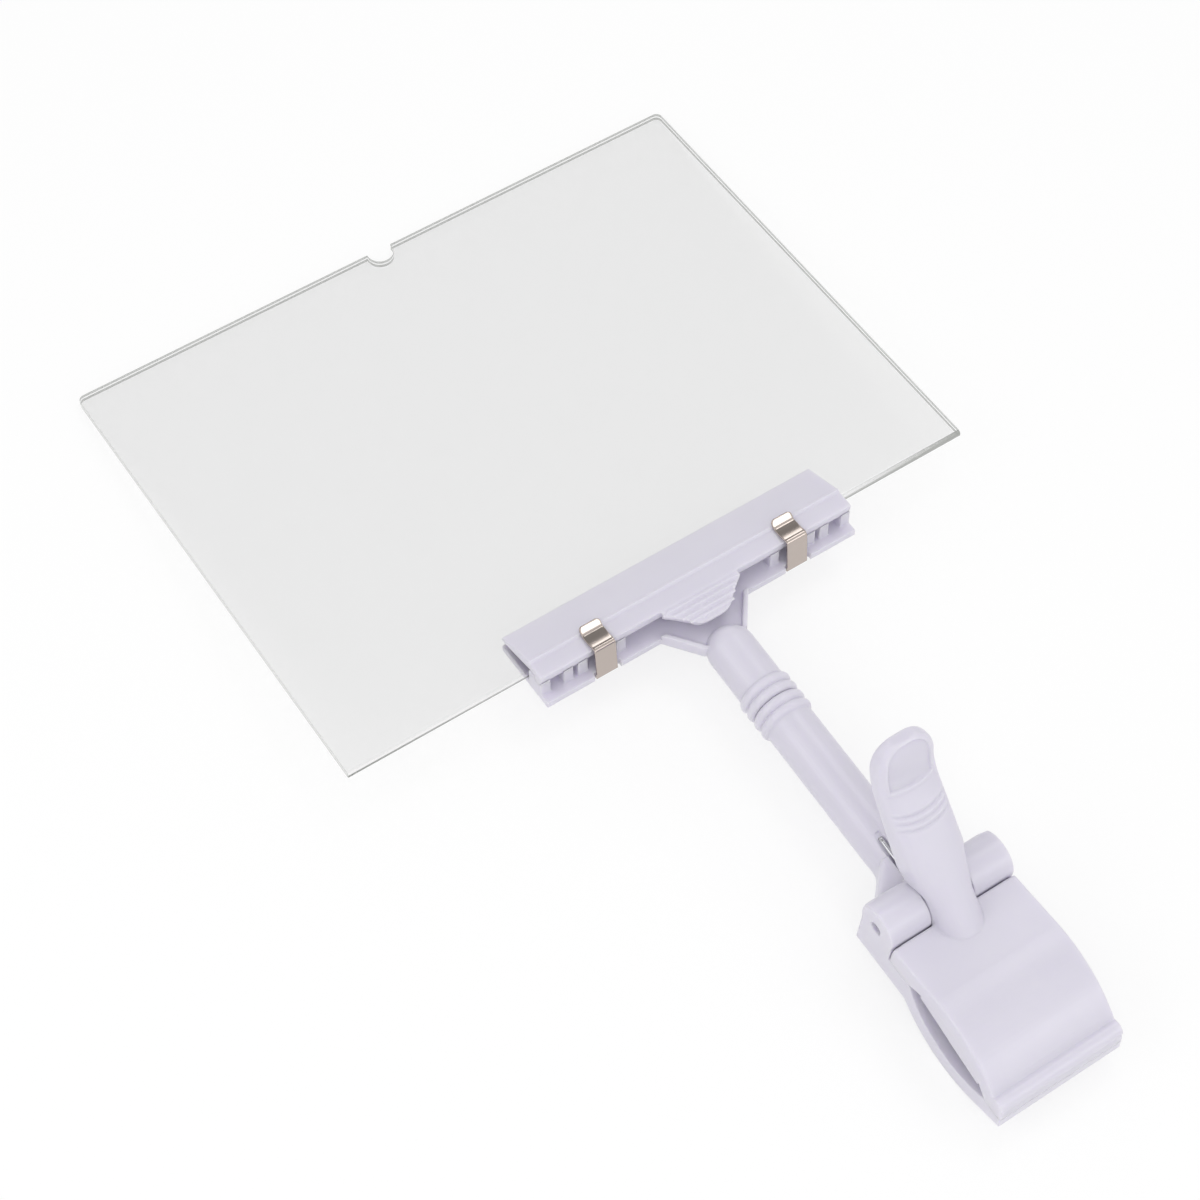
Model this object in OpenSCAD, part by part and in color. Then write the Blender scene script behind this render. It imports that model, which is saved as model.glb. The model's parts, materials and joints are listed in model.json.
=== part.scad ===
// Clip-on sign holder: a clear sign sleeve in a sprung gripper, a swivelling stem
// and a spring clamp with a thumb-shaped lever. It is drawn lying on a table, as it is
// photographed: the clamp's belly and the sleeve's far edge touch the table at z = 0.
// X runs along the hinge pin, Y from the clamp to the sleeve, Z up.

/* [Sign sleeve] */
// Width of the sleeve, along the gripper
sleeve_w = 160; // [130:1:220]
// Height of the sleeve, from its fold to its open edge
sleeve_h = 120; // [90:1:160]
// Thickness of the clear sheet
sheet_t = 0.8; // [0.5:0.1:1]
// Gap between the two walls, where the sign goes in
pocket_gap = 0.4; // [0.3:0.1:0.6]
// Corner radius of the sheet
sleeve_corner_r = 1.5; // [0.5:0.5:4]
// Width of the thumb notch in the open edge
notch_w = 6.4; // [4:0.2:12]
// Depth of the thumb notch
notch_depth = 3.8; // [3.2:0.2:6]
// How far the sleeve sits to the left of the gripper's middle
sleeve_shift = 4.7; // [0:0.1:15]

/* [Gripper] */
// Length of the two gripper jaws
gripper_l = 81; // [76:1:110]
// Reach of the lips over the sleeve
lip_reach = 10.4; // [8:0.2:14]
// Depth of the front bar behind the sleeve's fold
bar_depth = 5; // [4.6:0.1:6]
// Height of the front ridge above the sleeve's front
ridge_h = 4.7; // [4.4:0.1:5.5]
// Thickness of the front bar
bar_t = 1.8; // [1.4:0.1:2]
// Thickness of the rear plate
rear_t = 1.8; // [1.4:0.1:2.4]
// Depth of the rear flange behind the sleeve's fold
flange_depth = 7.4; // [7.2:0.1:9]
// Radius of the rocker bead that the front jaw turns on
rocker_r = 1.1; // [0.8:0.05:1.2]
// Thickness of the cross ribs that cradle the rocker
cradle_rib_t = 2.5; // [1.6:0.1:3]
// Thickness of the wall that the fold stands on
stop_wall_t = 1.5; // [1:0.1:1.6]
// Width of the finger tab where it leaves the bar
tab_root_w = 24; // [18:1:30]
// Width of the finger tab at its end
tab_end_w = 8; // [6:0.5:12]
// Length of the finger tab
tab_l = 7.2; // [5:0.1:7.6]
// Slope of the finger tab towards the back
tab_slope = 17; // [8:1:18]
// Thickness of the finger tab
tab_t = 1.5; // [1.2:0.1:1.6]
// Number of grip ribs on the finger tab
tab_ribs = 4; // [2:1:5]
// Width of the bracket where it leaves the flange
bracket_root_w = 23; // [18:1:30]
// Length of the bracket
bracket_l = 8; // [7:0.5:9]
// Height of the bracket's rim above its floor
bracket_rim_h = 1.3; // [0.8:0.1:1.4]
// Thickness of the bracket's rim
bracket_rim_t = 1.4; // [1:0.1:2]

/* [Spring clips] */
// Width of the clip strip
clip_w = 6; // [4:0.5:8]
// Thickness of the clip strip
clip_t = 0.5; // [0.4:0.05:0.6]
// Spacing of the two clips, middle to middle
clip_spacing = 50; // [44:0.2:56]
// Radius of the curled ends
clip_curl_r = 0.9; // [0.8:0.05:1.2]

/* [Stem and arm] */
// Diameter of the stem and the arm
arm_d = 11; // [10:0.2:13]
// Distance from the hinge pin to the swivel's parting line
arm_l = 54.6; // [48:0.2:80]
// Length of the stem above the parting line, to the middle of its dome
stem_l = 16.2; // [14:0.1:30]
// Distance from the dome's middle to the sleeve's fold
head_reach = 17.7; // [17.6:0.1:20]
// Height of the sleeve's fold above the arm's axis
head_rise = 1.6; // [1:0.05:2.4]
// Radius of the decorative beads
bead_r = 1.24; // [1:0.02:1.4]
// How far the beads stand out of the stem and the arm
bead_proud = 0.75; // [0.4:0.05:1]
// Diameter of the swivel peg
peg_d = 6; // [5:0.1:7]
// Length of the swivel peg
peg_l = 14; // [10:0.5:20]
// Height of the snap ring on the peg
snap_h = 0.4; // [0.2:0.05:0.5]

/* [Clamp] */
// Width of the jaws
jaw_w = 31; // [28:0.5:40]
// Width over the hinge knuckles
hinge_w = 29.4; // [26:0.2:40]
// Length of the lens-shaped opening between the closed jaws
lens_l = 26.4; // [22:0.2:32]
// Depth of the lower half of the opening
lens_rise = 5.7; // [5.4:0.1:6.2]
// Depth of the upper half of the opening
arch_rise = 5.4; // [4.8:0.1:6]
// Slope of the closed jaws below the arm
jaw_droop = 11.8; // [8:0.2:14]
// Wall of the lower jaw
lower_wall = 4.2; // [3:0.1:4.5]
// Distance from the hinge pin to the middle of the opening
lens_reach = 25; // [23.8:0.1:28]
// Height of the hinge pin above the middle of the opening
pin_rise = 7.5; // [7:0.1:8.5]
// Height of the hinge pin above the arm's axis
pin_over_arm = 7.2; // [6.4:0.1:7.6]
// Length of the jaw tips beyond the opening
tip_l = 5.6; // [4.5:0.1:7]
// Diameter of the hinge knuckles
knuckle_d = 10.6; // [9.6:0.2:11]
// Height of the upper jaw above its arch
upper_h = 4; // [3.4:0.1:5]
// Shell thickness of the upper jaw
upper_wall = 2.2; // [1.6:0.1:2.6]
// Radius of the lip bead across the upper jaw's tip
lip_bead_r = 1.9; // [1.4:0.1:2.2]
// Thickness of the upper jaw's skirts
skirt_t = 2.2; // [1.6:0.1:3]
// Thickness of the grip ribs inside the upper jaw
grip_rib_t = 1.8; // [1.2:0.1:2.4]
// Step from the skirt to the grip rib beside it
skirt_step = 0.6; // [0.3:0.1:1]

/* [Thumb lever] */
// Place of the knuckle's front, from the pin towards the arm
knee_y = 14.2; // [12:0.2:16]
// Height of the knuckle's front above the pin
knee_z = 24.8; // [20:0.2:28]
// Depth of the lever at the knuckle
knee_depth = 5.6; // [5:0.1:7]
// Lean of the tip above the knuckle, towards the arm
tip_lean = 14; // [0:1:15]
// Height of the tip above the knuckle
tip_h = 11.2; // [9:0.2:14]
// Width of the lever at the nail
lever_w = 14; // [12.4:0.2:15]
// Width of the lever between the knuckles of the hinge
lever_base_w = 10.4; // [9.8:0.2:11]
// Edge rounding of the lever
lever_round = 1.8; // [1.2:0.1:2.2]
// Width of the nail
nail_w = 10.2; // [8:0.2:10.2]
// Depth of the nail recess
nail_depth = 0.5; // [0.3:0.05:0.8]
// Rim left above the nail
nail_rim = 1.2; // [1:0.1:2]
// Number of knuckle creases
creases = 3; // [2:1:4]
// Spacing of the knuckle creases
crease_pitch = 1.7; // [1.2:0.1:2]

/* [Hinge] */
// Diameter of the hinge pin
pin_d = 3; // [2.4:0.1:3.4]
// How far the pin's ends lie inside the knuckles
pin_recess = 1.2; // [0.5:0.1:2]
// Diameter of the spring wire
wire_d = 1.2; // [1:0.05:1.3]
// Mean diameter of the spring coil
coil_d = 6.5; // [6.2:0.1:6.8]
// Number of coils between the two legs
coils = 2; // [2:1:3]
// Clear gap between neighbouring coils
coil_gap = 0.45; // [0.42:0.01:0.5]
// Length of the leg that lies on the arm
arm_leg_l = 16; // [12:0.5:20]
// Length of the leg inside the lever
lever_leg_l = 12; // [8:0.5:14]
// Lean of the leg inside the lever, towards the arm
leg_lean = 48; // [42:1:52]

/* [Fits] */
// Radial clearance of the pin, the peg and the rocker
running_fit = 0.05; // [0.02:0.01:0.1]
// Gap between the parts that slide or close against each other
slide_gap = 0.12; // [0.1:0.02:0.2]
// Gap round the parts that swing past each other
swing_gap = 0.3; // [0.25:0.05:0.5]

/* [Hidden] */
$fn = 48;

plastic = "#dad6e2";
clear_sheet = "#e8e8ea80";
nickel = "#b9aea6";

// Small overlap that fuses joined forms of one piece
eps = 0.02;
sleeve_t = 2 * sheet_t + pocket_gap;

// Places in the clamp, measured from the hinge pin along Y and from the table along Z
lens_r = (pow(lens_l / 2, 2) + pow(lens_rise, 2)) / (2 * lens_rise);
lens_sink = lens_r - lens_rise;
arch_r = (pow(lens_l / 2, 2) + pow(arch_rise, 2)) / (2 * arch_rise);
arch_sink = arch_r - arch_rise;
crown_r = arch_r + upper_h;
belly_r = lens_r + lower_wall;
lens_z = belly_r - lens_sink * cos(jaw_droop);
pin_z = lens_z + pin_rise;
arm_z = pin_z - pin_over_arm;
knuckle_r = knuckle_d / 2;
jaw_back_y = -knuckle_r - swing_gap;
block_back_y = knuckle_r - 0.6;
block_low_z = arm_z - 0.35 * arm_d;
seat_z = lens_z + lens_l / 2 * sin(jaw_droop);
seat_y = -lens_reach + lens_l / 2 * cos(jaw_droop);
tip_seat_z = lens_z - lens_l / 2 * sin(jaw_droop);
tip_seat_y = -lens_reach - lens_l / 2 * cos(jaw_droop);
tip_y = tip_seat_y - tip_l;
tip_low = [tip_y, tip_seat_z - 3];
belly_mid = [-lens_reach - lens_sink * sin(jaw_droop), belly_r];
arch_mid = [-lens_reach + arch_sink * sin(jaw_droop), lens_z - arch_sink * cos(jaw_droop)];
lip_mid = arch_mid + crown_r * [cos(145), sin(145)];
rib_half = lens_l / 2 - 3;

// Places of the gripper head: it leans until the sleeve's far edge meets the table
fold_y = arm_l + stem_l + head_reach;
fold_z = arm_z + head_rise;
head_lean = asin(fold_z / norm([sleeve_h, sleeve_t])) - atan2(sleeve_t, sleeve_h);
rear_z = -sleeve_t - slide_gap;
rocker_y = -bar_depth + rocker_r + 0.3;
rocker_z = ridge_h - 0.3 - bar_t - 0.6;
clip_line = clip_t / 2 + slide_gap;
rib_from_clip = clip_w / 2 + 2 * swing_gap + cradle_rib_t / 2;

// Middle of the ground that the holder covers, which is the origin
far_y = fold_y + sleeve_h * cos(head_lean);
middle_y = (far_y + tip_y) / 2;

// Places of the lever, measured from the pin along Y and Z
knee = [knee_y, knee_z];
foot = [-9.8, -3];
heel = [3, 1.8];
post_lean = atan2(knee[0] - foot[0], knee[1] - foot[1]);
post_l = norm(knee - foot);

// Coil of the torsion spring
coil_r = coil_d / 2;
coil_pitch = wire_d + coil_gap;
leg_sink = pin_over_arm - arm_d / 2 + 0.1;
leg_tilt = asin(coil_r / norm([arm_leg_l, leg_sink])) - atan2(leg_sink, arm_leg_l);
turns = coils + (90 + leg_tilt + leg_lean) / 360;
coil_half = turns * coil_pitch / 2;
cavity_half = coil_half + wire_d / 2 + swing_gap;
cavity_r = coil_r + wire_d / 2 + swing_gap;

// Point on a cubic curve with four control points
function curve(a, b, c, d, t) =
    pow(1 - t, 3) * a + 3 * pow(1 - t, 2) * t * b + 3 * (1 - t) * t * t * c + pow(t, 3) * d;

// Row of points along that curve
function curve_row(a, b, c, d, steps) = [for (i = [0:steps]) curve(a, b, c, d, i / steps)];

// Row of points along an arc
function arc_row(middle, r, from, to, steps) =
    [for (i = [0:steps]) let (a = from + (to - from) * i / steps) middle + r * [cos(a), sin(a)]];

function reversed(row) = [for (i = [len(row) - 1:-1:0]) row[i]];

// Place where a line from a point touches a circle, on its left or right side
function touch(p, middle, r, side) =
    let (d = p - middle, a = atan2(d[1], d[0]) + side * acos(r / norm(d)))
    middle + r * [cos(a), sin(a)];

// Unit direction of a row of points at one of them
function heading(row, i) =
    let (d = row[min(i + 1, len(row) - 1)] - row[max(i - 1, 0)]) d / norm(d);

// Outline of a strip of even thickness along a row of points
function strip(row, t) = concat(
    [for (i = [0:len(row) - 1]) row[i] + t / 2 * [-heading(row, i)[1], heading(row, i)[0]]],
    reversed([for (i = [0:len(row) - 1]) row[i] - t / 2 * [-heading(row, i)[1], heading(row, i)[0]]])
);

// Moves the clamp's own frame to the middle of the ground that the holder covers
module on_table() {
    translate([sleeve_shift, -middle_y, 0]) children();
}

// Frame of the gripper: its origin is on the sleeve's front at the fold
module in_head() {
    on_table() translate([0, fold_y, fold_z]) rotate([-head_lean, 0, 0]) children();
}

// Frame of the spring's upper leg: the pin is its origin and the leg points up
module on_leg() {
    translate([0, 0, pin_z]) rotate([-leg_lean, 0, 0]) children();
}

// Extrudes a side view, drawn with Y to the right and Z up, across a width
module across(w) {
    rotate([90, 0, 90]) linear_extrude(w, center = true) children();
}

// Side view placed on the middle of the lens-shaped opening
module on_lens() {
    translate([-lens_reach, lens_z]) rotate(jaw_droop) children();
}

// Round bar along the hinge pin
module rod_x(r, l) {
    rotate([0, 90, 0]) cylinder(r = r, h = l, center = true);
}

// Round bar along the arm, from one place to another
module rod_y(r, from, to) {
    translate([0, from, 0]) rotate([-90, 0, 0]) cylinder(r = r, h = to - from);
}

// Half-round bead round the stem or the arm
module bead(y) {
    translate([0, y, 0]) rotate([-90, 0, 0]) rotate_extrude()
        translate([arm_d / 2 + bead_proud - bead_r, 0]) circle(r = bead_r, $fn = 32);
}

// Outline of the sheet, with its notch in the open edge
module sheet_outline() {
    r = sleeve_corner_r;
    difference() {
        polygon(concat(
            [[-sleeve_w / 2, sleeve_t / 2], [sleeve_w / 2, sleeve_t / 2]],
            arc_row([sleeve_w / 2 - r, sleeve_h - r], r, 0, 90, 8),
            arc_row([-sleeve_w / 2 + r, sleeve_h - r], r, 90, 180, 8)
        ));
        translate([0, sleeve_h - notch_depth + notch_w / 2]) circle(d = notch_w);
        translate([-notch_w / 2, sleeve_h - notch_depth + notch_w / 2]) square([notch_w, notch_depth]);
    }
}

// One clear sheet folded along its bottom edge, open on the other three sides
module sign_sleeve() {
    color(clear_sheet) in_head() translate([-sleeve_shift, 0, 0]) {
        for (z = [-sheet_t, -sleeve_t])
            translate([0, 0, z]) linear_extrude(sheet_t) sheet_outline();
        across(sleeve_w) difference() {
            translate([sleeve_t / 2, -sleeve_t / 2]) circle(d = sleeve_t);
            translate([sleeve_t / 2, -sleeve_t / 2]) circle(d = pocket_gap);
            translate([sleeve_t / 2, -sleeve_t]) square(sleeve_t);
        }
    }
}

// Side view of the front jaw: sloping lip, ridge, bar and rocker bead
module front_jaw_side() {
    polygon([
        [lip_reach, slide_gap], [lip_reach, slide_gap + 0.65], [0.1, ridge_h], [-0.7, ridge_h],
        [-0.9, ridge_h - 0.25], [-bar_depth, ridge_h - 0.4], [-bar_depth, ridge_h - 0.4 - bar_t],
        [-1, ridge_h - 0.3 - bar_t], [lip_reach - 1.6, slide_gap]
    ]);
    translate([-0.3, ridge_h - 0.1]) circle(r = 0.4, $fn = 24);
}

// Finger tab seen from the front, narrowing in two easy curves to a round end
module tab_outline() {
    root = tab_root_w / 2;
    end = tab_end_w / 2;
    side = curve_row([root, eps], [root * 0.72, -0.4], [end * 1.5, -tab_l * 0.5], [end, -tab_l + 1.4], 10);
    tip = curve_row([end, -tab_l + 1.4], [end * 0.8, -tab_l], [end * 0.4, -tab_l], [0, -tab_l], 6);
    half = concat(side, tip);
    polygon(concat(half, reversed([for (p = half) [-p[0], p[1]]])));
}

// Front jaw of the gripper, with its finger tab
module gripper_front_jaw() {
    color(plastic) in_head() {
        across(gripper_l) {
            front_jaw_side();
            translate([rocker_y, rocker_z]) circle(r = rocker_r);
            translate([rocker_y - rocker_r * 0.6, rocker_z])
                square([rocker_r * 1.2, ridge_h - bar_t - rocker_z]);
        }
        translate([0, -bar_depth + 0.4, ridge_h - 0.4]) rotate([tab_slope, 0, 0]) {
            translate([0, 0, -tab_t]) linear_extrude(tab_t) tab_outline();
            for (i = [1:tab_ribs])
                translate([0, -i * (tab_l - 1) / (tab_ribs + 0.4), 0])
                    rod_x(0.35, tab_rib_l(i / (tab_ribs + 1)));
        }
    }
}

// Length of a grip rib at a share of the tab's length
function tab_rib_l(share) = tab_root_w * 0.72 - (tab_root_w * 0.72 - tab_end_w * 0.9) * share;

// Cross rib of the rear jaw, with a cradle for the rocker bead
module cradle_rib(x) {
    translate([x, 0, 0]) across(cradle_rib_t) difference() {
        translate([-bar_depth, rear_z - eps]) square([bar_depth - 0.4, rocker_z - rear_z]);
        translate([rocker_y, rocker_z]) circle(r = rocker_r + running_fit);
    }
}

// Bracket seen from the front, drawn in by the rim's thickness or at its full width
module bracket_outline(inset) {
    root = bracket_root_w / 2 - inset;
    end = arm_d / 2 - inset;
    polygon([
        [-root, eps], [root, eps], [end, -bracket_l], [-end, -bracket_l]
    ]);
}

// Rear jaw of the gripper in one piece with its bracket, stem and swivel peg
module gripper_rear_jaw() {
    color(plastic) {
        in_head() {
            difference() {
                translate([-gripper_l / 2, -flange_depth, rear_z - rear_t])
                    cube([gripper_l, flange_depth + lip_reach, rear_t]);
                for (side = [-1, 1])
                    translate([side * clip_spacing / 2, -flange_depth, rear_z])
                        cube([clip_w + 2 * swing_gap, 3 * clip_t + 0.5, 3 * rear_t], center = true);
            }
            translate([-gripper_l / 2, -stop_wall_t - slide_gap, rear_z - eps])
                cube([gripper_l, stop_wall_t, rocker_z - rear_z - rocker_r * 0.4]);
            for (side = [-1, 1])
                for (x = [gripper_l / 2 - cradle_rib_t / 2, gripper_l / 2 - 2.8 * cradle_rib_t,
                          clip_spacing / 2 + rib_from_clip, clip_spacing / 2 - rib_from_clip])
                    cradle_rib(side * x);
            translate([0, -flange_depth, rear_z - rear_t]) {
                linear_extrude(rear_t) bracket_outline(0);
                linear_extrude(rear_t + bracket_rim_h) difference() {
                    bracket_outline(0);
                    bracket_outline(bracket_rim_t);
                }
            }
        }
        on_table() translate([0, 0, arm_z]) {
            rod_y(arm_d / 2, arm_l + slide_gap / 2, arm_l + stem_l);
            translate([0, arm_l + stem_l, 0]) sphere(d = arm_d);
            for (i = [0, 1]) bead(arm_l + slide_gap / 2 + bead_r * (1 + 2 * i));
            rod_y(peg_d / 2, arm_l - peg_l, arm_l + 2 * bead_r);
            translate([0, arm_l - peg_l + 2.5, 0]) rotate([-90, 0, 0]) rotate_extrude()
                translate([peg_d / 2, 0]) circle(r = snap_h, $fn = 24);
        }
    }
}

// Line that a spring clip follows: curl, front arm, plate, rear arm and rear curl
function clip_path() =
    let (front = ridge_h - 0.3 + clip_line,
         back = rear_z - rear_t - clip_line,
         plate = -bar_depth - 0.6 - clip_t,
         hook = -flange_depth + clip_t,
         bend = 0.9,
         heel_r = 0.55)
    concat(
        arc_row([-2, front + clip_curl_r], clip_curl_r, 20, -90, 10),
        curve_row([-2.4, front], [-3, front], [-4, front + 0.3], [plate + bend + 0.3, front + 0.3], 6),
        arc_row([plate + bend, front + 0.3 - bend], bend, 90, 176, 6),
        arc_row([hook + heel_r, back + heel_r], heel_r, 184, 270, 6),
        [[-3, back]],
        arc_row([-2, back - clip_curl_r], clip_curl_r, 90, 20, 6)
    );

// Sprung clip, bent from one strip
module spring_clip(side) {
    color(nickel) in_head() translate([side * clip_spacing / 2, 0, 0])
        across(clip_w) polygon(strip(clip_path(), clip_t));
}

module spring_clip_left() {
    spring_clip(-1);
}

module spring_clip_right() {
    spring_clip(1);
}

// Side view of the lower jaw: belly, tip and seat
module lower_jaw_side() {
    difference() {
        union() {
            on_lens() intersection() {
                translate([0, lens_sink]) circle(r = belly_r, $fn = 96);
                translate([-lens_l / 2, -belly_r]) square([lens_l, belly_r - slide_gap]);
            }
            polygon([
                [tip_seat_y, tip_seat_z - slide_gap], [tip_y + 0.2, tip_seat_z - slide_gap], tip_low,
                touch(tip_low, belly_mid, belly_r, 1), [-lens_reach, lens_z - lens_rise]
            ]);
            polygon([
                [seat_y - 1, seat_z - slide_gap], [jaw_back_y + swing_gap, seat_z - slide_gap],
                [jaw_back_y + swing_gap, block_low_z], [seat_y - 1, block_low_z - 0.4]
            ]);
        }
        translate(belly_mid) circle(r = lens_r, $fn = 96);
    }
}

// Side view of the hinge block and its knuckles
module hinge_side() {
    polygon([
        [jaw_back_y + swing_gap - eps, block_low_z], [jaw_back_y + swing_gap - eps, seat_z - slide_gap],
        [-knuckle_r, pin_z], [block_back_y, pin_z], [block_back_y, block_low_z]
    ]);
    translate([0, pin_z]) circle(r = knuckle_r);
}

// Gussets that spread the arm's end to the width of the hinge block
module arm_flare() {
    translate([0, 0, arm_z - arm_d / 4]) linear_extrude(arm_d * 0.72) polygon([
        [-hinge_w * 0.4, block_back_y - 0.4], [hinge_w * 0.4, block_back_y - 0.4],
        [arm_d * 0.42, 2.3 * knuckle_r], [-arm_d * 0.42, 2.3 * knuckle_r]
    ]);
}

// Room between the knuckles for the lever's root and the coil
module hinge_slot() {
    w = lever_base_w + 2 * swing_gap;
    translate([0, 0, pin_z]) rod_x(knuckle_r + swing_gap, w);
    translate([-w / 2, 0, pin_z]) cube([w, knuckle_r + 2, knuckle_r + 2]);
    translate([-w / 2, jaw_back_y - 1, seat_z - slide_gap]) cube([w, -jaw_back_y + 1, pin_z - seat_z]);
}

// Groove in the arm's top for the leg of the spring
module leg_groove() {
    translate([-coil_half, 0, pin_z]) rotate([leg_tilt, 0, 0])
        translate([-wire_d / 2 - swing_gap, 0, -coil_r - wire_d / 2 - 0.05])
            cube([wire_d + 2 * swing_gap, arm_leg_l + 1.5, coil_r + wire_d]);
}

// Arm in one piece with the lower jaw and the two knuckles
module clamp_arm() {
    color(plastic) on_table() difference() {
        union() {
            across(jaw_w) lower_jaw_side();
            across(hinge_w) hinge_side();
            arm_flare();
            translate([0, 0, arm_z]) {
                rod_y(arm_d / 2, 0, arm_l - slide_gap / 2);
                for (i = [0, 1]) bead(arm_l - slide_gap / 2 - bead_r * (1 + 2 * i));
            }
        }
        hinge_slot();
        leg_groove();
        translate([0, 0, pin_z]) rod_x(pin_d / 2, jaw_w + 1);
        translate([0, 0, arm_z]) {
            rod_y(peg_d / 2 + running_fit, arm_l - peg_l - 0.5, arm_l + 2);
            translate([0, arm_l - peg_l + 2.5, 0]) rotate([-90, 0, 0]) rotate_extrude()
                translate([peg_d / 2, 0]) circle(r = snap_h + running_fit, $fn = 24);
        }
    }
}

// Corner of the upper jaw beside the knuckles, and the place where its crown begins
jaw_corner = [jaw_back_y, pin_z + 0.2];
crown_start = touch(jaw_corner, arch_mid, crown_r - eps, 1);

// Side view of the upper jaw, closed along the chord of the opening
module upper_jaw_side() {
    on_lens() intersection() {
        translate([0, -arch_sink]) circle(r = crown_r, $fn = 96);
        translate([-lens_l / 2 + swing_gap, 0]) square([lens_l - swing_gap, 2 * crown_r]);
    }
    polygon([[jaw_back_y, seat_z], jaw_corner, crown_start, [-lens_reach, lens_z + eps], [seat_y, seat_z]]);
    polygon([
        [tip_seat_y - swing_gap, tip_seat_z], [tip_y + 0.9, tip_seat_z], lip_mid - [lip_bead_r, 0], lip_mid,
        arch_mid + (crown_r - eps) * [cos(136), sin(136)], [tip_seat_y + 1.5, tip_seat_z + 1.2]
    ]);
    translate(lip_mid) circle(r = lip_bead_r, $fn = 32);
}

// Side view of the hollow under the upper jaw's shell
module upper_core_side() {
    intersection() {
        union() {
            translate(arch_mid) circle(r = crown_r - upper_wall, $fn = 96);
            polygon([
                [jaw_back_y, 0], jaw_corner - [0, 1.15 * upper_wall],
                crown_start - [0, 1.15 * upper_wall], [-lens_reach, 0]
            ]);
        }
        translate([tip_seat_y + 2, 0]) square([jaw_back_y - 2.2 - tip_seat_y - 2, 2 * pin_z]);
    }
}

// Pair of rounded corners of the lever, at one place and width
module lever_corners(place, w) {
    for (side = [-1, 1])
        translate([side * (w / 2 - lever_round), place[0], place[1]]) sphere(r = lever_round, $fn = 24);
}

// Rounded body of the lever: a leaning post and a more upright tip with a round end
module lever_body() {
    r = lever_round;
    back = [cos(tip_lean), -sin(tip_lean)];
    up = [sin(tip_lean), cos(tip_lean)];
    knee_front = knee + r * back;
    knee_back = knee + (knee_depth - r) * back;
    hull() {
        lever_corners(foot + [0.8 * r, 0.6 * r], lever_base_w);
        lever_corners(heel, lever_base_w);
        lever_corners(knee_front, lever_w);
        lever_corners(knee_back, lever_w);
    }
    hull() {
        lever_corners(knee_front, lever_w);
        lever_corners(knee_back, lever_w);
        for (a = [0:22.5:90]) {
            rise = tip_h - lever_w / 2 + (lever_w / 2 - r) * sin(a);
            w = 2 * r + (lever_w - 2 * r) * cos(a);
            lever_corners(knee_front + rise * up, w);
            lever_corners(knee_back + rise * up, w);
        }
    }
}

// Nail recess in the tip's front, and creases across the post's front
module lever_marks() {
    nail_r = nail_w / 2;
    nail_top = tip_h - nail_rim - nail_r;
    translate([0, knee[0], knee[1]]) rotate([-tip_lean, 0, 0]) rotate([90, 0, 0])
        translate([0, 0, -nail_depth]) linear_extrude(4) polygon(concat(
            [[-nail_r, 1], [nail_r, 1]], arc_row([0, nail_top], nail_r, 0, 180, 16)
        ));
    translate([0, foot[0], foot[1]]) rotate([-post_lean, 0, 0])
        for (i = [0:creases - 1])
            translate([0, 0, post_l - 6 - i * crease_pitch + 14]) rotate([90, 0, 0]) difference() {
                cylinder(r = 14.3, h = 0.8, center = true);
                cylinder(r = 13.7, h = 1, center = true);
                translate([-20, -12.8, -1]) cube([40, 40, 2]);
            }
}

// Room inside the lever's root for the coil and its leg
module coil_cavity() {
    across(2 * cavity_half) {
        circle(r = cavity_r);
        translate([0, -cavity_r]) square([cavity_r + 3, 2 * cavity_r]);
    }
    translate([coil_half - wire_d / 2 - swing_gap, -coil_r - wire_d / 2 - 0.05, 0])
        cube([wire_d + 2 * swing_gap - eps, coil_r + 12, lever_leg_l + 1]);
}

// Room beside the lever's root, where it turns between the knuckles
module knuckle_relief() {
    w = (jaw_w - lever_base_w) / 2 - slide_gap;
    for (side = [-1, 1])
        translate([side * (jaw_w - w) / 2, 0, pin_z]) rod_x(knuckle_r + swing_gap - eps, w);
}

// Upper jaw in one piece with the thumb lever
module upper_jaw() {
    skirt_x = jaw_w / 2 - skirt_step;
    rib_x = jaw_w / 6;
    bay_w = skirt_x - skirt_t - rib_x - grip_rib_t / 2;
    color(plastic) on_table() difference() {
        union() {
            difference() {
                across(jaw_w) upper_jaw_side();
                for (side = [-1, 1]) {
                    translate([side * (skirt_x + skirt_step), 0, 0])
                        across(2 * skirt_step) translate(arch_mid) circle(r = arch_r, $fn = 96);
                    translate([side * (skirt_x - skirt_t - bay_w / 2), 0, 0]) across(bay_w) upper_core_side();
                    across(jaw_w + 1) intersection() {
                        translate(arch_mid) circle(r = arch_r, $fn = 96);
                        on_lens() translate([side * (rib_half + 5), 0]) square([10, 20], center = true);
                    }
                }
                across(2 * rib_x - grip_rib_t) upper_core_side();
            }
            across(lever_base_w) difference() {
                union() {
                    translate([0, pin_z]) circle(r = knuckle_r);
                    translate([jaw_back_y - 1, pin_z - knuckle_r]) square([-jaw_back_y + 1, 2 * knuckle_r]);
                }
                translate([-2 * knuckle_r, -pin_z]) square([4 * knuckle_r, pin_z + seat_z]);
            }
            translate([0, 0, pin_z]) lever_body();
        }
        translate([0, 0, pin_z]) lever_marks();
        knuckle_relief();
        on_leg() coil_cavity();
        translate([0, 0, pin_z]) rod_x(pin_d / 2 + running_fit, jaw_w);
    }
}

// Steel pin, pressed into the knuckles
module hinge_pin() {
    color(nickel) on_table() translate([0, 0, pin_z]) rod_x(pin_d / 2, hinge_w - 2 * pin_recess);
}

// Points of the spring wire in the pin's frame: arm leg, coils and lever leg
coil_steps = round(8 * turns);
function coil_point(i) =
    let (share = i / coil_steps, a = leg_tilt - 90 - share * 360 * turns)
    [-coil_half + 2 * coil_half * share, coil_r * cos(a), coil_r * sin(a)];

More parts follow.
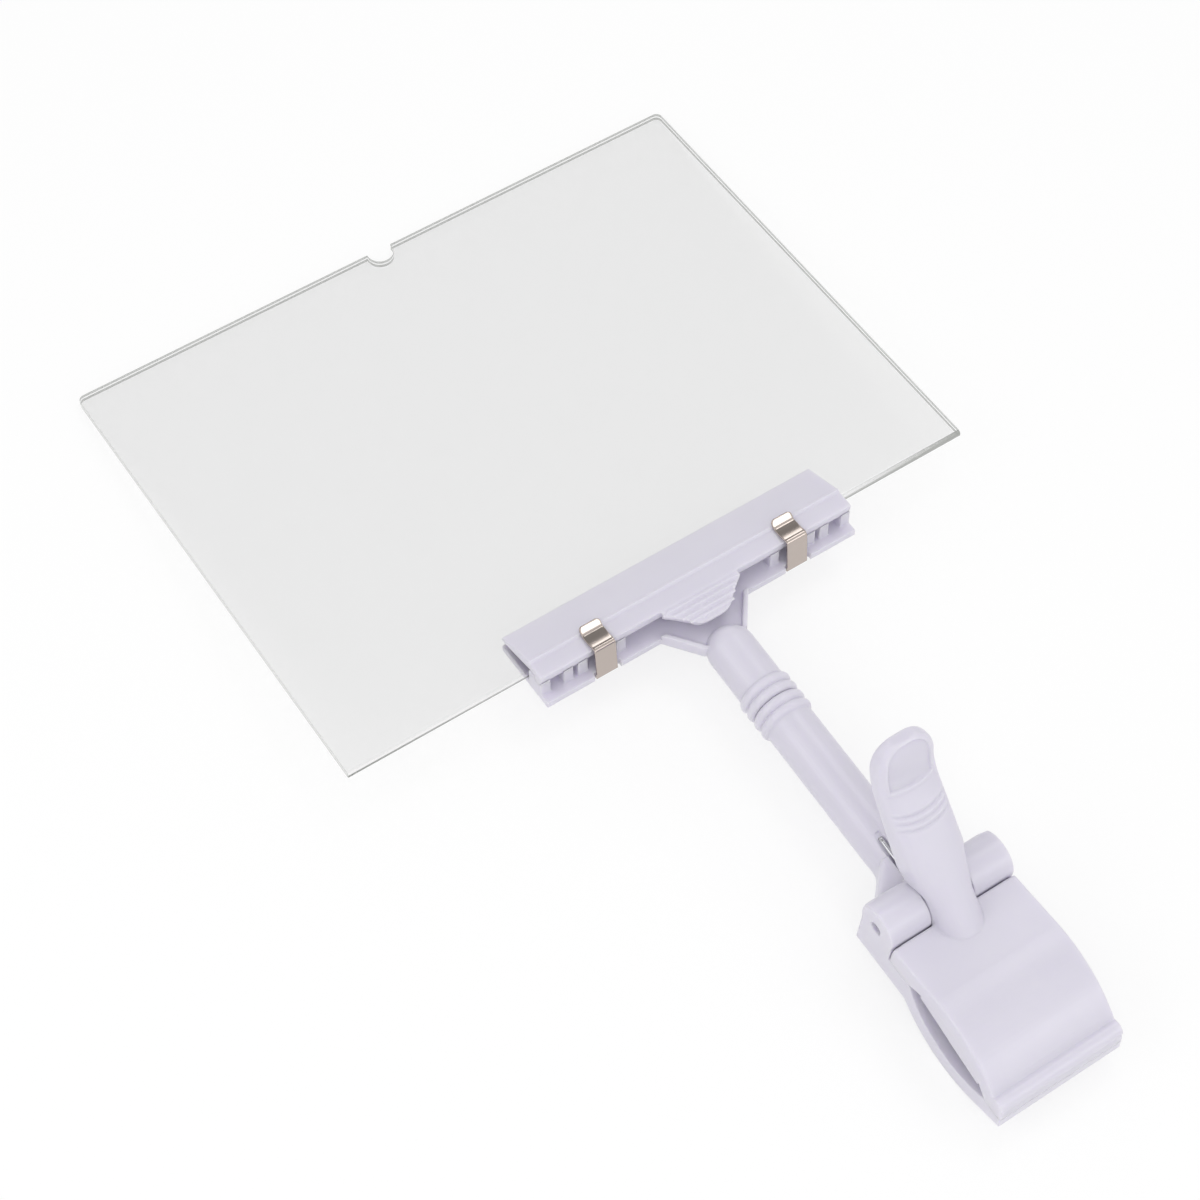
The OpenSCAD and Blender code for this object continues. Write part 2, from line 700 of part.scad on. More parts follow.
function spring_path() =
    let (start = coil_point(0), end = coil_point(coil_steps),
         out = [0, cos(leg_tilt), sin(leg_tilt)],
         up = [0, sin(leg_lean), cos(leg_lean)])
    concat(
        [start + arm_leg_l * out, start + (arm_leg_l - wire_d) * out, start + wire_d * out],
        [for (i = [0:coil_steps]) coil_point(i)],
        [end + wire_d * up, end + (lever_leg_l - wire_d) * up, end + lever_leg_l * up]
    );

// Least gap between two turns of the wire, measured on the path's points
wire_gap = min([for (i = [0:len(spring_path()) - 1]) for (j = [i + 5:1:len(spring_path()) - 1])
    norm(spring_path()[i] - spring_path()[j])]) - wire_d;
echo(wire_gap = wire_gap);

// Torsion spring round the pin, swept along its path with six sides
module torsion_spring() {
    path = spring_path();
    last = len(path) - 1;
    sides = 6;
    rings = [for (i = [0:last])
        let (d = path[min(i + 1, last)] - path[max(i - 1, 0)],
             u = d / norm(d),
             across_wire = [1, 0, 0] - u[0] * u,
             v = across_wire / norm(across_wire),
             w = cross(u, v))
        for (k = [0:sides - 1])
            path[i] + wire_d / 2 * (cos(60 * k) * v + sin(60 * k) * w)];
    walls = [for (i = [0:last - 1]) for (k = [0:sides - 1])
        let (a = i * sides + k, b = i * sides + (k + 1) % sides)
        each [[a, b, b + sides], [a, b + sides, a + sides]]];
    end = last * sides;
    caps = [for (k = [1:sides - 2]) each [[0, k + 1, k], [end, end + k, end + k + 1]]];
    color(nickel) on_table() translate([0, 0, pin_z])
        polyhedron(points = rings, faces = concat(walls, caps));
}

sign_sleeve();
gripper_front_jaw();
gripper_rear_jaw();
spring_clip_left();
spring_clip_right();
clamp_arm();
upper_jaw();
hinge_pin();
torsion_spring();
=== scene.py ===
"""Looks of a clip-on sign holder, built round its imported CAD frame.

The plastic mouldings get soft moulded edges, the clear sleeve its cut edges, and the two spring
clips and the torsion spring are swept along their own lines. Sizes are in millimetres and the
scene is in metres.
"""

import json
import math

import bmesh
import bpy
from mathutils import Euler, Matrix, Vector


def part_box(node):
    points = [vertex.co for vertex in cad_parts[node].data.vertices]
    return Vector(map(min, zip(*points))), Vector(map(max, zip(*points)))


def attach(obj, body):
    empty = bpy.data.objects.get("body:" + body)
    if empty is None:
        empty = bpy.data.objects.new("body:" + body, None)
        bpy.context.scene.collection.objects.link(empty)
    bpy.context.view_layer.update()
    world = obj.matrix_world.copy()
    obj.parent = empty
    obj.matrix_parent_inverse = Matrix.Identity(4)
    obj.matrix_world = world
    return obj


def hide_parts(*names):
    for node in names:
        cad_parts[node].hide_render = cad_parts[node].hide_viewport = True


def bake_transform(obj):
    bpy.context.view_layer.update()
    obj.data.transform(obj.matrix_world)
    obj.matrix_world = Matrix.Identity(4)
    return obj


bl_info = {
    "name": "Clip-on Sign Holder",
    "version": (1, 0, 0),
    "blender": (4, 5, 0),
    "location": "3D View > Sidebar > Sign Holder",
    "description": "Dresses the sign holder's CAD frame with its finishes and its sprung pieces",
    "category": "Object",
}

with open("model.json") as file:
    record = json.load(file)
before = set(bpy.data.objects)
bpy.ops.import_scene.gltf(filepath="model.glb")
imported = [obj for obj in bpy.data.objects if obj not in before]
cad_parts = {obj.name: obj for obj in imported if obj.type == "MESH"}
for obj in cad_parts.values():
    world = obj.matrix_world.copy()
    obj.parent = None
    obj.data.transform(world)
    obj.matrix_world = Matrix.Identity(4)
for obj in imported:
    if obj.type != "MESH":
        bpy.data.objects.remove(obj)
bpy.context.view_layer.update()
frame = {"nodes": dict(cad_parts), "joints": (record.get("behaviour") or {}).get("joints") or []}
JOINTS = {joint["name"]: joint for joint in frame["joints"]}

MM = 0.001
WELD = 0.002 * MM
MOST_FACES = 150000
# Hinge pin's middle, in metres and in millimetres
PIN = Vector(JOINTS["clamp_open"]["pos_m"])
PIN_MM = PIN / MM
# Materials that are made already, by the name of the function that makes them
MADE = {}

# Gripper frame: Y runs from the fold into the sleeve and Z out of its front
ROCKER = (-3.6, 2.0)
# Faces of the sleeve: material of each kind, and how far the fold's inside reaches
WALL, CUT, FOLD = 0, 1, 2
FOLD_REACH = 4.0
# Spring clip, in the gripper frame: levels of its two arms, its plate's top and foot, and its lean
CLIP_FRONT = 4.77
CLIP_BACK = -4.29
CLIP_PLATE = -6.1
CLIP_HOOK = -6.9
CLIP_LEAN = 4.0
# Its curl, and the length and the slope of the tongue that goes up from it
CLIP_CURL_Y = -1.7
CLIP_CURL = 1.2
CLIP_TONGUE = 1.6
CLIP_TONGUE_RISE = 46.0
# Its front arm: where it lies flat, and its rise, height and straight length at the corner
CLIP_FLAT = (-1.8, -2.8)
CLIP_RISE = 15.0
CLIP_CORNER = 0.42
CLIP_SLOPE = 1.8
# Its rear arm's end and the middle of the rear curl, and the radii of its corner, heel, rear curl,
# rounded ends and tumbled edges
CLIP_REAR = (-3.0, -2.0)
CLIP_BEND = 0.7
CLIP_HEEL = 0.55
CLIP_REAR_CURL = 0.9
CLIP_ROUND = 0.95
CLIP_EDGE = 0.09
# Finger tab in the gripper frame: its root, its slope down from the bar, its half width at the root,
# its taper, its thickness and its length
TAB_ROOT = (-4.6, 4.3)
TAB_SLOPE = 17.0
TAB_HALF = 12.3
TAB_TAPER = 1.1
TAB_THICK = 1.55
TAB_LENGTH = 7.2
# How much its sides spread, where that begins and is full, the slack in its width, and where its rim
# begins and how wide it is
TAB_SPREAD = 0.25
TAB_SPREAD_FROM = 0.6
TAB_SPREAD_FULL = 1.8
TAB_SLACK = 0.3
TAB_RIM_FROM = 0.9
TAB_RIM = 1.0
# Thumb lever, measured along its front line from its root and across from the hinge pin
LEVER_START = (-13.4, -0.1)
LEVER_POST = 37.2
LEVER_POST_LEAN = 47.9
LEVER_TIP = 11.2
LEVER_TIP_LEAN = 14.0
LEVER_BEND = 4.0
LEVER_SLOT = 5.25
LEVER_ROOT_HALF = 5.1
LEVER_HALF = 7.0
LEVER_WIDEN = (10.0, 20.0)
LEVER_ROOT_DEPTH = 5.5
LEVER_DEPTH = 2.9
LEVER_THIN_FROM = 15.0
# Its section: roundness at the root, what is added above and where; then the start and the length of
# the rounding of its end, in width and in depth
LEVER_ROUND = 2.3
LEVER_SQUARER = 0.9
LEVER_SQUARE_FULL = 24.0
LEVER_END_WIDE = (4.2, 7.2)
LEVER_END_DEEP = (5.2, 6.2)
# Nail: half width, where its round end begins and how full that is, place and sag of its low edge,
# depth and slope of its wall, and height, place and half width of its rim
NAIL_HALF = 5.1
NAIL_MIDDLE = 5.2
NAIL_POWER = 2.5
NAIL_LOW = 0.4
NAIL_SAG = 0.5
NAIL_DEEP = 0.4
NAIL_WALL = (-0.15, 0.3)
NAIL_RIM_HIGH = 0.14
NAIL_RIM_OUT = 0.4
NAIL_RIM_HALF = 0.55
# Creases: places, depth, width, sag and half length, then the share, place and width of the swell
# above each
CREASES = (30.5, 28.9, 27.3)
CREASE_DEEP = 0.26
CREASE_WIDE = 0.36
CREASE_SAG = 0.039
CREASE_HALF = 5.4
SWELL_SHARE = 0.45
SWELL_ABOVE = 0.8
SWELL_WIDE = 0.4
# Lowest place above the hinge pin that the marks reach, and how much a place has to face the front
MARKS_LOW = 8.0
MARKS_FACING = (0.2, 0.6)
# Jaw beside the lever: its back corner from the hinge pin, its rise to the front, and the hinge barrel
JAW_BACK = (-5.6, 0.2)
JAW_RISE = 0.13
BARREL = 5.3
# Room of the CAD node's lever from the hinge pin: front, back, top and foot; what stays over the jaw
CAD_LEVER = (-16.0, 40.0, 45.0, -1.8)
JAW_SPARED = 0.05
# Room under the new lever: front, back and foot, where the jaw's top ends in it before the barrel, and
# how far the lever goes into jaw and barrel
UNDER_LEVER = (-22.0, 5.0, -20.0)
JAW_TOP_END = -5.4
LEVER_SUNK = 0.8
BARREL_SUNK = 0.3
# Half width of these cuts, and the room and half width of those for the knuckles
CUT_HALF = 9.0
KNUCKLE_ROOM = 0.3
KNUCKLE_HALF = 2.0
# Sides of the clamp, from its middle and from the hinge pin: the hinge block's half width and foot in
# the CAD node, how far the block reaches, and the jaws' half width and the foot that they share
BLOCK_HALF = 14.7
BLOCK_FOOT = -11.05
BLOCK_REACH = 6.5
JAW_HALF = 15.5
JAW_FOOT = -11.39
# The arm's flare beside the hinge block, from the pin: inner edge, start and end
FLARE_INNER = 4.7
FLARE_START = 4.2
FLARE_END = 15.0
# Crown of the upper jaw, from the hinge pin: middle of its arch, radius, and end behind the middle
CROWN_MIDDLE = (-22.25, -20.65)
CROWN_R = 22.83
CROWN_END = 3.0
# Lowest place of the upper jaw that gets softer edges, and how far its softer sides reach past its
# back corner, inwards and down
JAW_SOFT_LOW = -7.4
JAW_SIDE_BACK = 0.5
JAW_SIDE_WIDE = 2.2
JAW_SIDE_DEEP = 1.9
# Tip of the upper jaw: where it begins, from the hinge pin, and where its front face begins and is
# full from there; the gap that it closes and how far its lower edge comes forward, each with the
# heights between which that fades
JAW_TIP = -38.6
TIP_FACE = (2.0, 3.4)
TIP_GAP = 0.1
TIP_GAP_FADE = (0.8, 0.2)
TIP_FLUSH = 0.6
TIP_FLUSH_FADE = (2.2, 0.2)
# Torsion spring, measured from the hinge pin
COIL_R = 3.25
COIL_PITCH = 1.65
COILS = 2
LEG_LEAN = 48.0
ARM_LEG = 16.0
LEVER_LEG = 12.0
LEG_SINK = 1.8
LEG_ROOM = 0.9

# Table: white, half size in metres, drop below the holder, and strength and share of its own glow
TABLE_WHITE = (0.92, 0.92, 0.92, 1.0)
TABLE_HALF = 4.0
TABLE_DROP = 0.05
TABLE_GLOW = 1.03
TABLE_GLOW_SHARE = 0.72
# Light tent: its light, what it shows in a mirror, and the turn, rise and soft rim of its dark end
TENT_LIGHT = 0.67
TENT_MIRRORED = 0.9
TENT_DARK = 0.35
DARK_END = (54.0, 60.0)
DARK_RIM = (0.78, 0.93)
# Soft boxes: the place that they face and their distance from it, in metres
BOX_AIM = (0.0, -0.08, 0.0)
BOX_AWAY = 0.9

# Camera, found from the outlines of the photograph, as a square picture 1200 pixels wide
CAMERA_AIM = (-8.486, 18.822, 0.0)
CAMERA_DISTANCE = 605.33
CAMERA_ELEVATION = 59.3285
CAMERA_HEADING = 37.7115
CAMERA_ROLL = 4.5984
CAMERA_LENS = 82.5
CAMERA_SENSOR = 36.0


def linear(hex_colour):
    """Linear colour with full alpha from an sRGB hex value."""
    parts = [int(hex_colour[i:i + 2], 16) / 255 for i in (0, 2, 4)]
    lit = [c / 12.92 if c <= 0.04045 else ((c + 0.055) / 1.055) ** 2.4 for c in parts]
    return (*lit, 1.0)


def per_mm(size):
    """Texture scale that gives marks of a size in millimetres."""
    return 1.0 / (size * MM)


def colour_setting(name, description, hex_colour):
    """Setting for a colour, which starts as an sRGB hex value."""
    return bpy.props.FloatVectorProperty(
        name=name, description=description, subtype="COLOR", size=4, default=linear(hex_colour))


def length_setting(name, description, size):
    """Setting for a length, which starts as a size in millimetres."""
    return bpy.props.FloatProperty(
        name=name, description=description, unit="LENGTH", default=size * MM)


class SignHolderColours(bpy.types.PropertyGroup):
    """Colours of the holder's materials."""

    plastic: colour_setting("Plastic", "Colour of the moulded plastic", "dedbe6")
    plastic_flow: colour_setting(
        "Plastic flow marks",
        "Colour that the plastic drifts to where it flowed into the mould", "d8d5e1")
    sheet: colour_setting(
        "Clear sheet", "Tint that one face of the clear sheet gives to what is behind it", "fdfdfd")
    # The same grey is also painted on the fold's rim as shade
    sheet_edge_and_fold_shade: colour_setting("Sheet edge", "Colour of the sheet's cut edges and fold", "b4b6b2")
    nickel: colour_setting("Nickel plate", "Colour of the plated spring clips", "bdb2ab")
    steel: colour_setting("Bright steel", "Colour of the spring wire and the hinge pin", "b9b9bd")


class SignHolderSizes(bpy.types.PropertyGroup):
    """Sizes of the forms that are added to the CAD frame."""

    skin: length_setting(
        "Moulded skin", "Grid size of the moulded skin, which sets how soft its edges are",
        0.16)
    strip_width: length_setting("Clip width", "Width of the spring clips", 5.3)
    strip_thickness: length_setting("Clip thickness", "Thickness of the spring clips", 0.5)
    wire: length_setting("Spring wire", "Diameter of the torsion spring's wire", 1.0)


def add_node(tree, kind, inputs=None, links=None, **settings):
    """Adds a node with its settings, its input values and the links into its inputs."""
    node = tree.nodes.new(kind)
    for name, value in settings.items():
        setattr(node, name, value)
    for socket, value in (inputs or {}).items():
        node.inputs[socket].default_value = value
    for socket, source in (links or {}).items():
        tree.links.new(source, node.inputs[socket])
    return node


def empty_material(name):
    """New material with only its output node."""
    material = bpy.data.materials.new(name)
    material.use_nodes = True
    material.node_tree.nodes.clear()
    output = add_node(material.node_tree, "ShaderNodeOutputMaterial")
    return material, material.node_tree, output


def moulded_abs():
    """Injection-moulded ABS: satin, slow flow marks in its colour and a faint orange peel."""
    colours = bpy.context.scene.sign_holder_colours
    material, tree, output = empty_material("ABS, moulded satin lilac")
    place = add_node(tree, "ShaderNodeTexCoord").outputs["Object"]
    flow = add_node(
        tree, "ShaderNodeTexNoise",
        {"Scale": per_mm(14.0), "Detail": 3.0, "Roughness": 0.55},
        {"Vector": place},
    )
    colour = add_node(
        tree, "ShaderNodeMix", {6: colours.plastic, 7: colours.plastic_flow},
        {0: flow.outputs["Fac"]}, data_type="RGBA",
    )
    # The real orange peel is about 0.1 mm wide, drawn five times as coarse so that it shows
    peel = add_node(
        tree, "ShaderNodeTexNoise", {"Scale": per_mm(0.5), "Detail": 2.0}, {"Vector": place},
    )
    gloss = add_node(
        tree, "ShaderNodeMapRange", {"To Min": 0.27, "To Max": 0.36},
        {"Value": flow.outputs["Fac"]},
    )
    bump = add_node(
        tree, "ShaderNodeBump", {"Strength": 0.12, "Distance": 0.02 * MM},
        {"Height": peel.outputs["Fac"]},
    )
    shader = add_node(
        tree, "ShaderNodeBsdfPrincipled",
        {"IOR": 1.53, "Subsurface Weight": 0.55, "Subsurface Scale": 2.2 * MM,
         "Subsurface Radius": (1.0, 0.92, 1.08)},
        {"Base Color": colour.outputs[2], "Roughness": gloss.outputs["Result"],
         "Normal": bump.outputs["Normal"]},
    )
    tree.links.new(shader.outputs["BSDF"], output.inputs["Surface"])
    return material


def clear_pvc():
    """Clear PVC sheet: lets light through with a slight grey tint and mirrors a little at a slant."""
    colours = bpy.context.scene.sign_holder_colours
    material, tree, output = empty_material("PVC, clear calendered sheet")
    place = add_node(tree, "ShaderNodeTexCoord").outputs["Object"]
    # Handling leaves broad, hardly visible smears
    smear = add_node(
        tree, "ShaderNodeTexNoise",
        {"Scale": per_mm(30.0), "Detail": 5.0, "Roughness": 0.6, "Distortion": 0.8},
        {"Vector": place},
    )
    gloss = add_node(
        tree, "ShaderNodeMapRange", {"To Min": 0.06, "To Max": 0.16},
        {"Value": smear.outputs["Fac"]},
    )
    # Only the outer side of each face mirrors, since the light isn't bent inside the sheet
    slant = add_node(tree, "ShaderNodeFresnel", {"IOR": 1.53})
    inner = add_node(tree, "ShaderNodeNewGeometry").outputs["Backfacing"]
    outer = add_node(tree, "ShaderNodeMath", {0: 1.0}, {1: inner}, operation="SUBTRACT")
    mirror = add_node(
        tree, "ShaderNodeMath", None,
        {0: slant.outputs["Fac"], 1: outer.outputs["Value"]}, operation="MULTIPLY",
    )
    through = add_node(tree, "ShaderNodeBsdfTransparent", {"Color": colours.sheet})
    shine = add_node(
        tree, "ShaderNodeBsdfGlossy", {"Color": (1.0, 1.0, 1.0, 1.0)},
        {"Roughness": gloss.outputs["Result"]},
    )
    both = add_node(
        tree, "ShaderNodeMixShader", None,
        {0: mirror.outputs["Value"], 1: through.outputs["BSDF"], 2: shine.outputs["BSDF"]},
    )
    tree.links.new(both.outputs["Shader"], output.inputs["Surface"])
    return material


def cut_pvc():
    """Cut edge of the clear sheet, which gathers light and looks grey."""
    colours = bpy.context.scene.sign_holder_colours
    material, tree, output = empty_material("PVC, cut edge")
    place = add_node(tree, "ShaderNodeTexCoord").outputs["Object"]
    saw = add_node(
        tree, "ShaderNodeTexNoise", {"Scale": per_mm(2.5), "Detail": 2.0}, {"Vector": place},
    )
    gloss = add_node(
        tree, "ShaderNodeMapRange", {"To Min": 0.18, "To Max": 0.36},
        {"Value": saw.outputs["Fac"]},
    )
    shader = add_node(
        tree, "ShaderNodeBsdfPrincipled",
        {"Base Color": colours.sheet_edge_and_fold_shade, "IOR": 1.52, "Alpha": 0.7},
        {"Roughness": gloss.outputs["Result"]},
    )
    tree.links.new(shader.outputs["BSDF"], output.inputs["Surface"])
    return material


def folded_pvc():
    """Fold of the clear sheet: clear where it faces the eye, with grey painted on as shade at its rim.
    """
    colours = bpy.context.scene.sign_holder_colours
    material, tree, output = empty_material("PVC, fold with painted rim shade")
    slant = add_node(tree, "ShaderNodeLayerWeight", {"Blend": 0.5}).outputs["Facing"]
    # Painted shade: grey where the fold turns from the eye, in place of the dark that refraction gives
    # there
    rim = add_node(
        tree, "ShaderNodeMapRange",
        {"From Min": 0.4, "From Max": 0.72, "To Min": 0.08, "To Max": 0.95},
        {"Value": slant}, interpolation_type="SMOOTHSTEP",
    )
    through = add_node(tree, "ShaderNodeBsdfTransparent", {"Color": colours.sheet})
    # Grey that is painted on as shade at the fold's rim
    edge = add_node(
        tree, "ShaderNodeBsdfPrincipled",
        {"Base Color": colours.sheet_edge_and_fold_shade, "IOR": 1.53, "Roughness": 0.15},
    )
    both = add_node(
        tree, "ShaderNodeMixShader", None,
        {0: rim.outputs["Result"], 1: through.outputs["BSDF"], 2: edge.outputs["BSDF"]},
    )
    tree.links.new(both.outputs["Shader"], output.inputs["Surface"])
    return material


def rolled_metal(name, colour, roughness, grain, along):
    """Plated or drawn metal with fine lines that run along one direction."""
    material, tree, output = empty_material(name)
    place = add_node(tree, "ShaderNodeTexCoord").outputs["Object"]
    stretch = [1.0, 1.0, 1.0]
    stretch[along] = 0.06
    drawn = add_node(
        tree, "ShaderNodeMapping", {"Scale": stretch}, {"Vector": place},
    )
    lines = add_node(
        tree, "ShaderNodeTexNoise", {"Scale": per_mm(grain), "Detail": 3.0},
        {"Vector": drawn.outputs["Vector"]},
    )
    gloss = add_node(
        tree, "ShaderNodeMapRange",
        {"To Min": roughness * 0.75, "To Max": roughness * 1.35},
        {"Value": lines.outputs["Fac"]},
    )
    bump = add_node(
        tree, "ShaderNodeBump", {"Strength": 0.15, "Distance": 0.01 * MM},
        {"Height": lines.outputs["Fac"]},
    )
    shader = add_node(
        tree, "ShaderNodeBsdfPrincipled", {"Base Color": colour, "Metallic": 1.0},
        {"Roughness": gloss.outputs["Result"], "Normal": bump.outputs["Normal"]},
    )
    tree.links.new(shader.outputs["BSDF"], output.inputs["Surface"])
    return material


def nickel_plate():
    """Nickel-plated spring strip: warm, bright, with rolling lines."""
    colour = bpy.context.scene.sign_holder_colours.nickel
    return rolled_metal("Spring steel, nickel plated", colour, roughness=0.17, grain=0.35, along=0)


def bright_steel():
    """Drawn steel wire, left bright."""
    colour = bpy.context.scene.sign_holder_colours.steel
    return rolled_metal("Steel, bright drawn", colour, roughness=0.12, grain=0.25, along=1)


def shared(make):
    """Material made by a function, made once."""
    if make.__name__ not in MADE:
        MADE[make.__name__] = make()
    return MADE[make.__name__]


def new_piece(name, mesh, *materials):
    """Links a new object with smooth faces and its materials."""
    piece = bpy.data.objects.new(name, mesh)
    bpy.context.scene.collection.objects.link(piece)
    mesh.shade_smooth()
    for material in materials:
        mesh.materials.append(material)
    return piece


def welded_form(node):
    """Closed form of a CAD node, as a bmesh that the caller frees."""
    form = bmesh.new()
    form.from_mesh(frame["nodes"][node].data)
    bmesh.ops.remove_doubles(form, verts=form.verts, dist=WELD)
    return form


def form_mesh(form, name):
    """Mesh from a bmesh, without the normals that came with the CAD node."""
    mesh = bpy.data.meshes.new(name)
    form.to_mesh(mesh)
    form.free()
    old_normals = mesh.attributes.get("custom_normal")
    if old_normals is not None:
        mesh.attributes.remove(old_normals)
    mesh.materials.clear()
    return mesh


def metre_mesh(form, name):
    """Mesh in metres from a form in millimetres."""
    bmesh.ops.recalc_face_normals(form, faces=form.faces)
    bmesh.ops.scale(form, vec=(MM, MM, MM), verts=form.verts)
    return form_mesh(form, name)


def join_rings(form, rings):
    """Skin over a row of rings with as many vertices each, closed at both ends."""
    sides = len(rings[0])
    for low, high in zip(rings, rings[1:]):
        for k in range(sides):
            form.faces.new((low[k], low[(k + 1) % sides], high[(k + 1) % sides], high[k]))
    form.faces.new(list(reversed(rings[0])))
    form.faces.new(rings[-1])


def apply_modifiers(piece):
    """Makes the piece's modifiers part of its mesh."""
    graph = bpy.context.evaluated_depsgraph_get()
    mesh = bpy.data.meshes.new_from_object(piece.evaluated_get(graph))
    piece.modifiers.clear()
    piece.data = mesh


def cut_away(piece, cutter):
    """Takes the cutter's volume out of the piece and removes the cutter."""
    cut = piece.modifiers.new("Cut", "BOOLEAN")
    cut.operation = "DIFFERENCE"
    cut.solver = "EXACT"
    cut.object = cutter
    apply_modifiers(piece)
    bpy.data.objects.remove(cutter)


def joined_mesh(name, *pieces):
    """One mesh with the forms of several pieces, which are removed."""
    form = bmesh.new()
    for piece in pieces:
        form.from_mesh(piece.data)
        bpy.data.objects.remove(piece)
    return form_mesh(form, name)


def soft_skin(piece, rounds):
    """Turns the piece into one closed skin whose edges are as soft as a moulding's."""
    skin = piece.modifiers.new("Moulded skin", "REMESH")
    skin.mode = "VOXEL"
    skin.voxel_size = bpy.context.scene.sign_holder_sizes.skin
    soft = piece.modifiers.new("Soft edges", "SMOOTH")
    soft.factor = 0.5
    soft.iterations = rounds
    apply_modifiers(piece)
    if len(piece.data.polygons) == 0:
        raise RuntimeError(f"{piece.name} came out empty")


def soften(piece, chosen, rounds):
    """Makes the edges at some vertices softer still, and leaves the others crisp."""
    group = piece.vertex_groups.new(name="soft")
    group.add(chosen, 1.0, "REPLACE")
    soft = piece.modifiers.new("Softer edges", "SMOOTH")
    soft.factor = 0.5
    soft.iterations = rounds
    soft.vertex_group = group.name
    apply_modifiers(piece)
    piece.vertex_groups.clear()


def finish_moulding(piece, node, body):
    """Thins the skin where it is flat, evens its shading and lets it stand for a CAD node."""
    faces = 2 * len(piece.data.polygons)
    lean = piece.modifiers.new("Fewer faces on flats", "DECIMATE")
    lean.ratio = min(1.0, MOST_FACES / faces)
    even = piece.modifiers.new("Even shading", "WEIGHTED_NORMAL")
    even.mode = "FACE_AREA_WITH_ANGLE"
    apply_modifiers(piece)
    piece.data.shade_smooth()
    piece.data.materials.clear()
    piece.data.materials.append(shared(moulded_abs))
    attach(piece, body)
    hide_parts(node)


def skinned_piece(name, node, rounds, reshape=None):
    """Piece with soft edges from the form of a CAD node, which a function may reshape a little."""
    form = welded_form(node)
    if reshape is not None:
        reshape(form)
    piece = new_piece(name, form_mesh(form, name))
    soft_skin(piece, rounds)
    return piece


def gripper_matrix():
    """Place of the gripper frame, from the joints of the rocker and the sleeve."""
    along = Vector(JOINTS["sleeve_pull"]["axis"])
    lean = math.atan2(-along.z, along.y)
    turn = Euler((-lean, 0, 0)).to_matrix()
    rocker = turn @ Vector((0, ROCKER[0] * MM, ROCKER[1] * MM))
    place = Vector(JOINTS["gripper_open"]["pos_m"]) - rocker
    return Matrix.Translation(place) @ turn.to_4x4()


def tab_place(back, co):
    """Place on the finger tab: across its middle, along it from its root, and above its face."""
    spot = back @ co / MM
    slope = math.radians(TAB_SLOPE)
    out = TAB_ROOT[0] - spot.y
    down = TAB_ROOT[1] - spot.z
    along = out * math.cos(slope) + down * math.sin(slope)
    return spot.x, along, out * math.sin(slope) - down * math.cos(slope)


def spread_tab(form):
    """Spreads the sides of the finger tab, which run straight to its root on the real one."""
    back = gripper_matrix().inverted()
    for vertex in form.verts:
        across, along, above = tab_place(back, vertex.co)
        if abs(across) < TAB_HALF + TAB_SLACK and along > TAB_SPREAD_FROM and above > -TAB_THICK:
            share = ease(TAB_SPREAD_FROM, TAB_SPREAD_FULL, along)
            vertex.co.x += across * MM * TAB_SPREAD * share


def tab_rim(mesh):
    """Vertices along the finger tab's rounded rim."""
    back = gripper_matrix().inverted()
    rim = []
    for vertex in mesh.vertices:
        across, along, above = tab_place(back, vertex.co)
        at_side = abs(across) > TAB_HALF - TAB_TAPER * along - TAB_RIM
        at_end = along > TAB_LENGTH - TAB_RIM
        on_tab = along > TAB_RIM_FROM and abs(across) < TAB_HALF and above > -2 * TAB_THICK
        if on_tab and (at_side or at_end):
            rim.append(vertex.index)
    return rim


def flush_block(form):
    """Brings the hinge block's sides and foot level with the lower jaw's."""
    close = 0.1
    for vertex in form.verts:
        spot = vertex.co / MM - PIN_MM
        if abs(spot.y) > BLOCK_REACH:
            continue
        if abs(abs(spot.x) - BLOCK_HALF) < close:
            vertex.co.x = (PIN_MM.x + math.copysign(JAW_HALF, spot.x)) * MM
        if abs(spot.z - BLOCK_FOOT) < close:
            vertex.co.z = (PIN_MM.z + JAW_FOOT) * MM


def flare_sides(mesh):
    """Vertices on the arm's two sides, where it widens to the hinge block."""
    sides = []
    for vertex in mesh.vertices:
        spot = vertex.co / MM - PIN_MM
        if abs(spot.x) > FLARE_INNER and FLARE_START < spot.y < FLARE_END:
            sides.append(vertex.index)
    return sides


def jaw_sides(mesh):
    """Vertices along the two upper side edges of the upper jaw."""
    sides = []
    for vertex in mesh.vertices:
        spot = vertex.co / MM - PIN_MM
        if not JAW_TIP < spot.y < JAW_BACK[0] + JAW_SIDE_BACK:
            continue
        if abs(spot.x) < JAW_HALF - JAW_SIDE_WIDE:
            continue
        # The top is flat beside the lever and arched in front of it
        reach = spot.y - CROWN_MIDDLE[0]
        crown = CROWN_MIDDLE[1] + math.sqrt(max(0.0, CROWN_R ** 2 - reach ** 2))
        flat = jaw_top(spot.y, 0)[1]
        top = flat if reach > CROWN_END else crown
        if spot.z > top - JAW_SIDE_DEEP:
            sides.append(vertex.index)
    return sides


def arc_points(middle, radius, first, last, steps):
    """Points along an arc, from one angle to another, in degrees."""
    angles = [math.radians(first + (last - first) * i / steps) for i in range(steps + 1)]
    return [Vector((middle[0] + radius * math.cos(a), middle[1] + radius * math.sin(a)))
            for a in angles]


def cubic_points(a, b, c, d, steps):
    """Points along a cubic curve with four control points."""
    row = []
    for i in range(steps + 1):
        t = i / steps
        weights = ((1 - t) ** 3, 3 * (1 - t) ** 2 * t, 3 * (1 - t) * t * t, t ** 3)
        row.append(sum((w * Vector(p) for w, p in zip(weights, (a, b, c, d))), Vector((0, 0))))
    return row


def line_reaches(row):
    """Distance along a line to each of its points."""
    reach = [0.0]
    for p, q in zip(row, row[1:]):
        reach.append(reach[-1] + (q - p).length)
    return reach


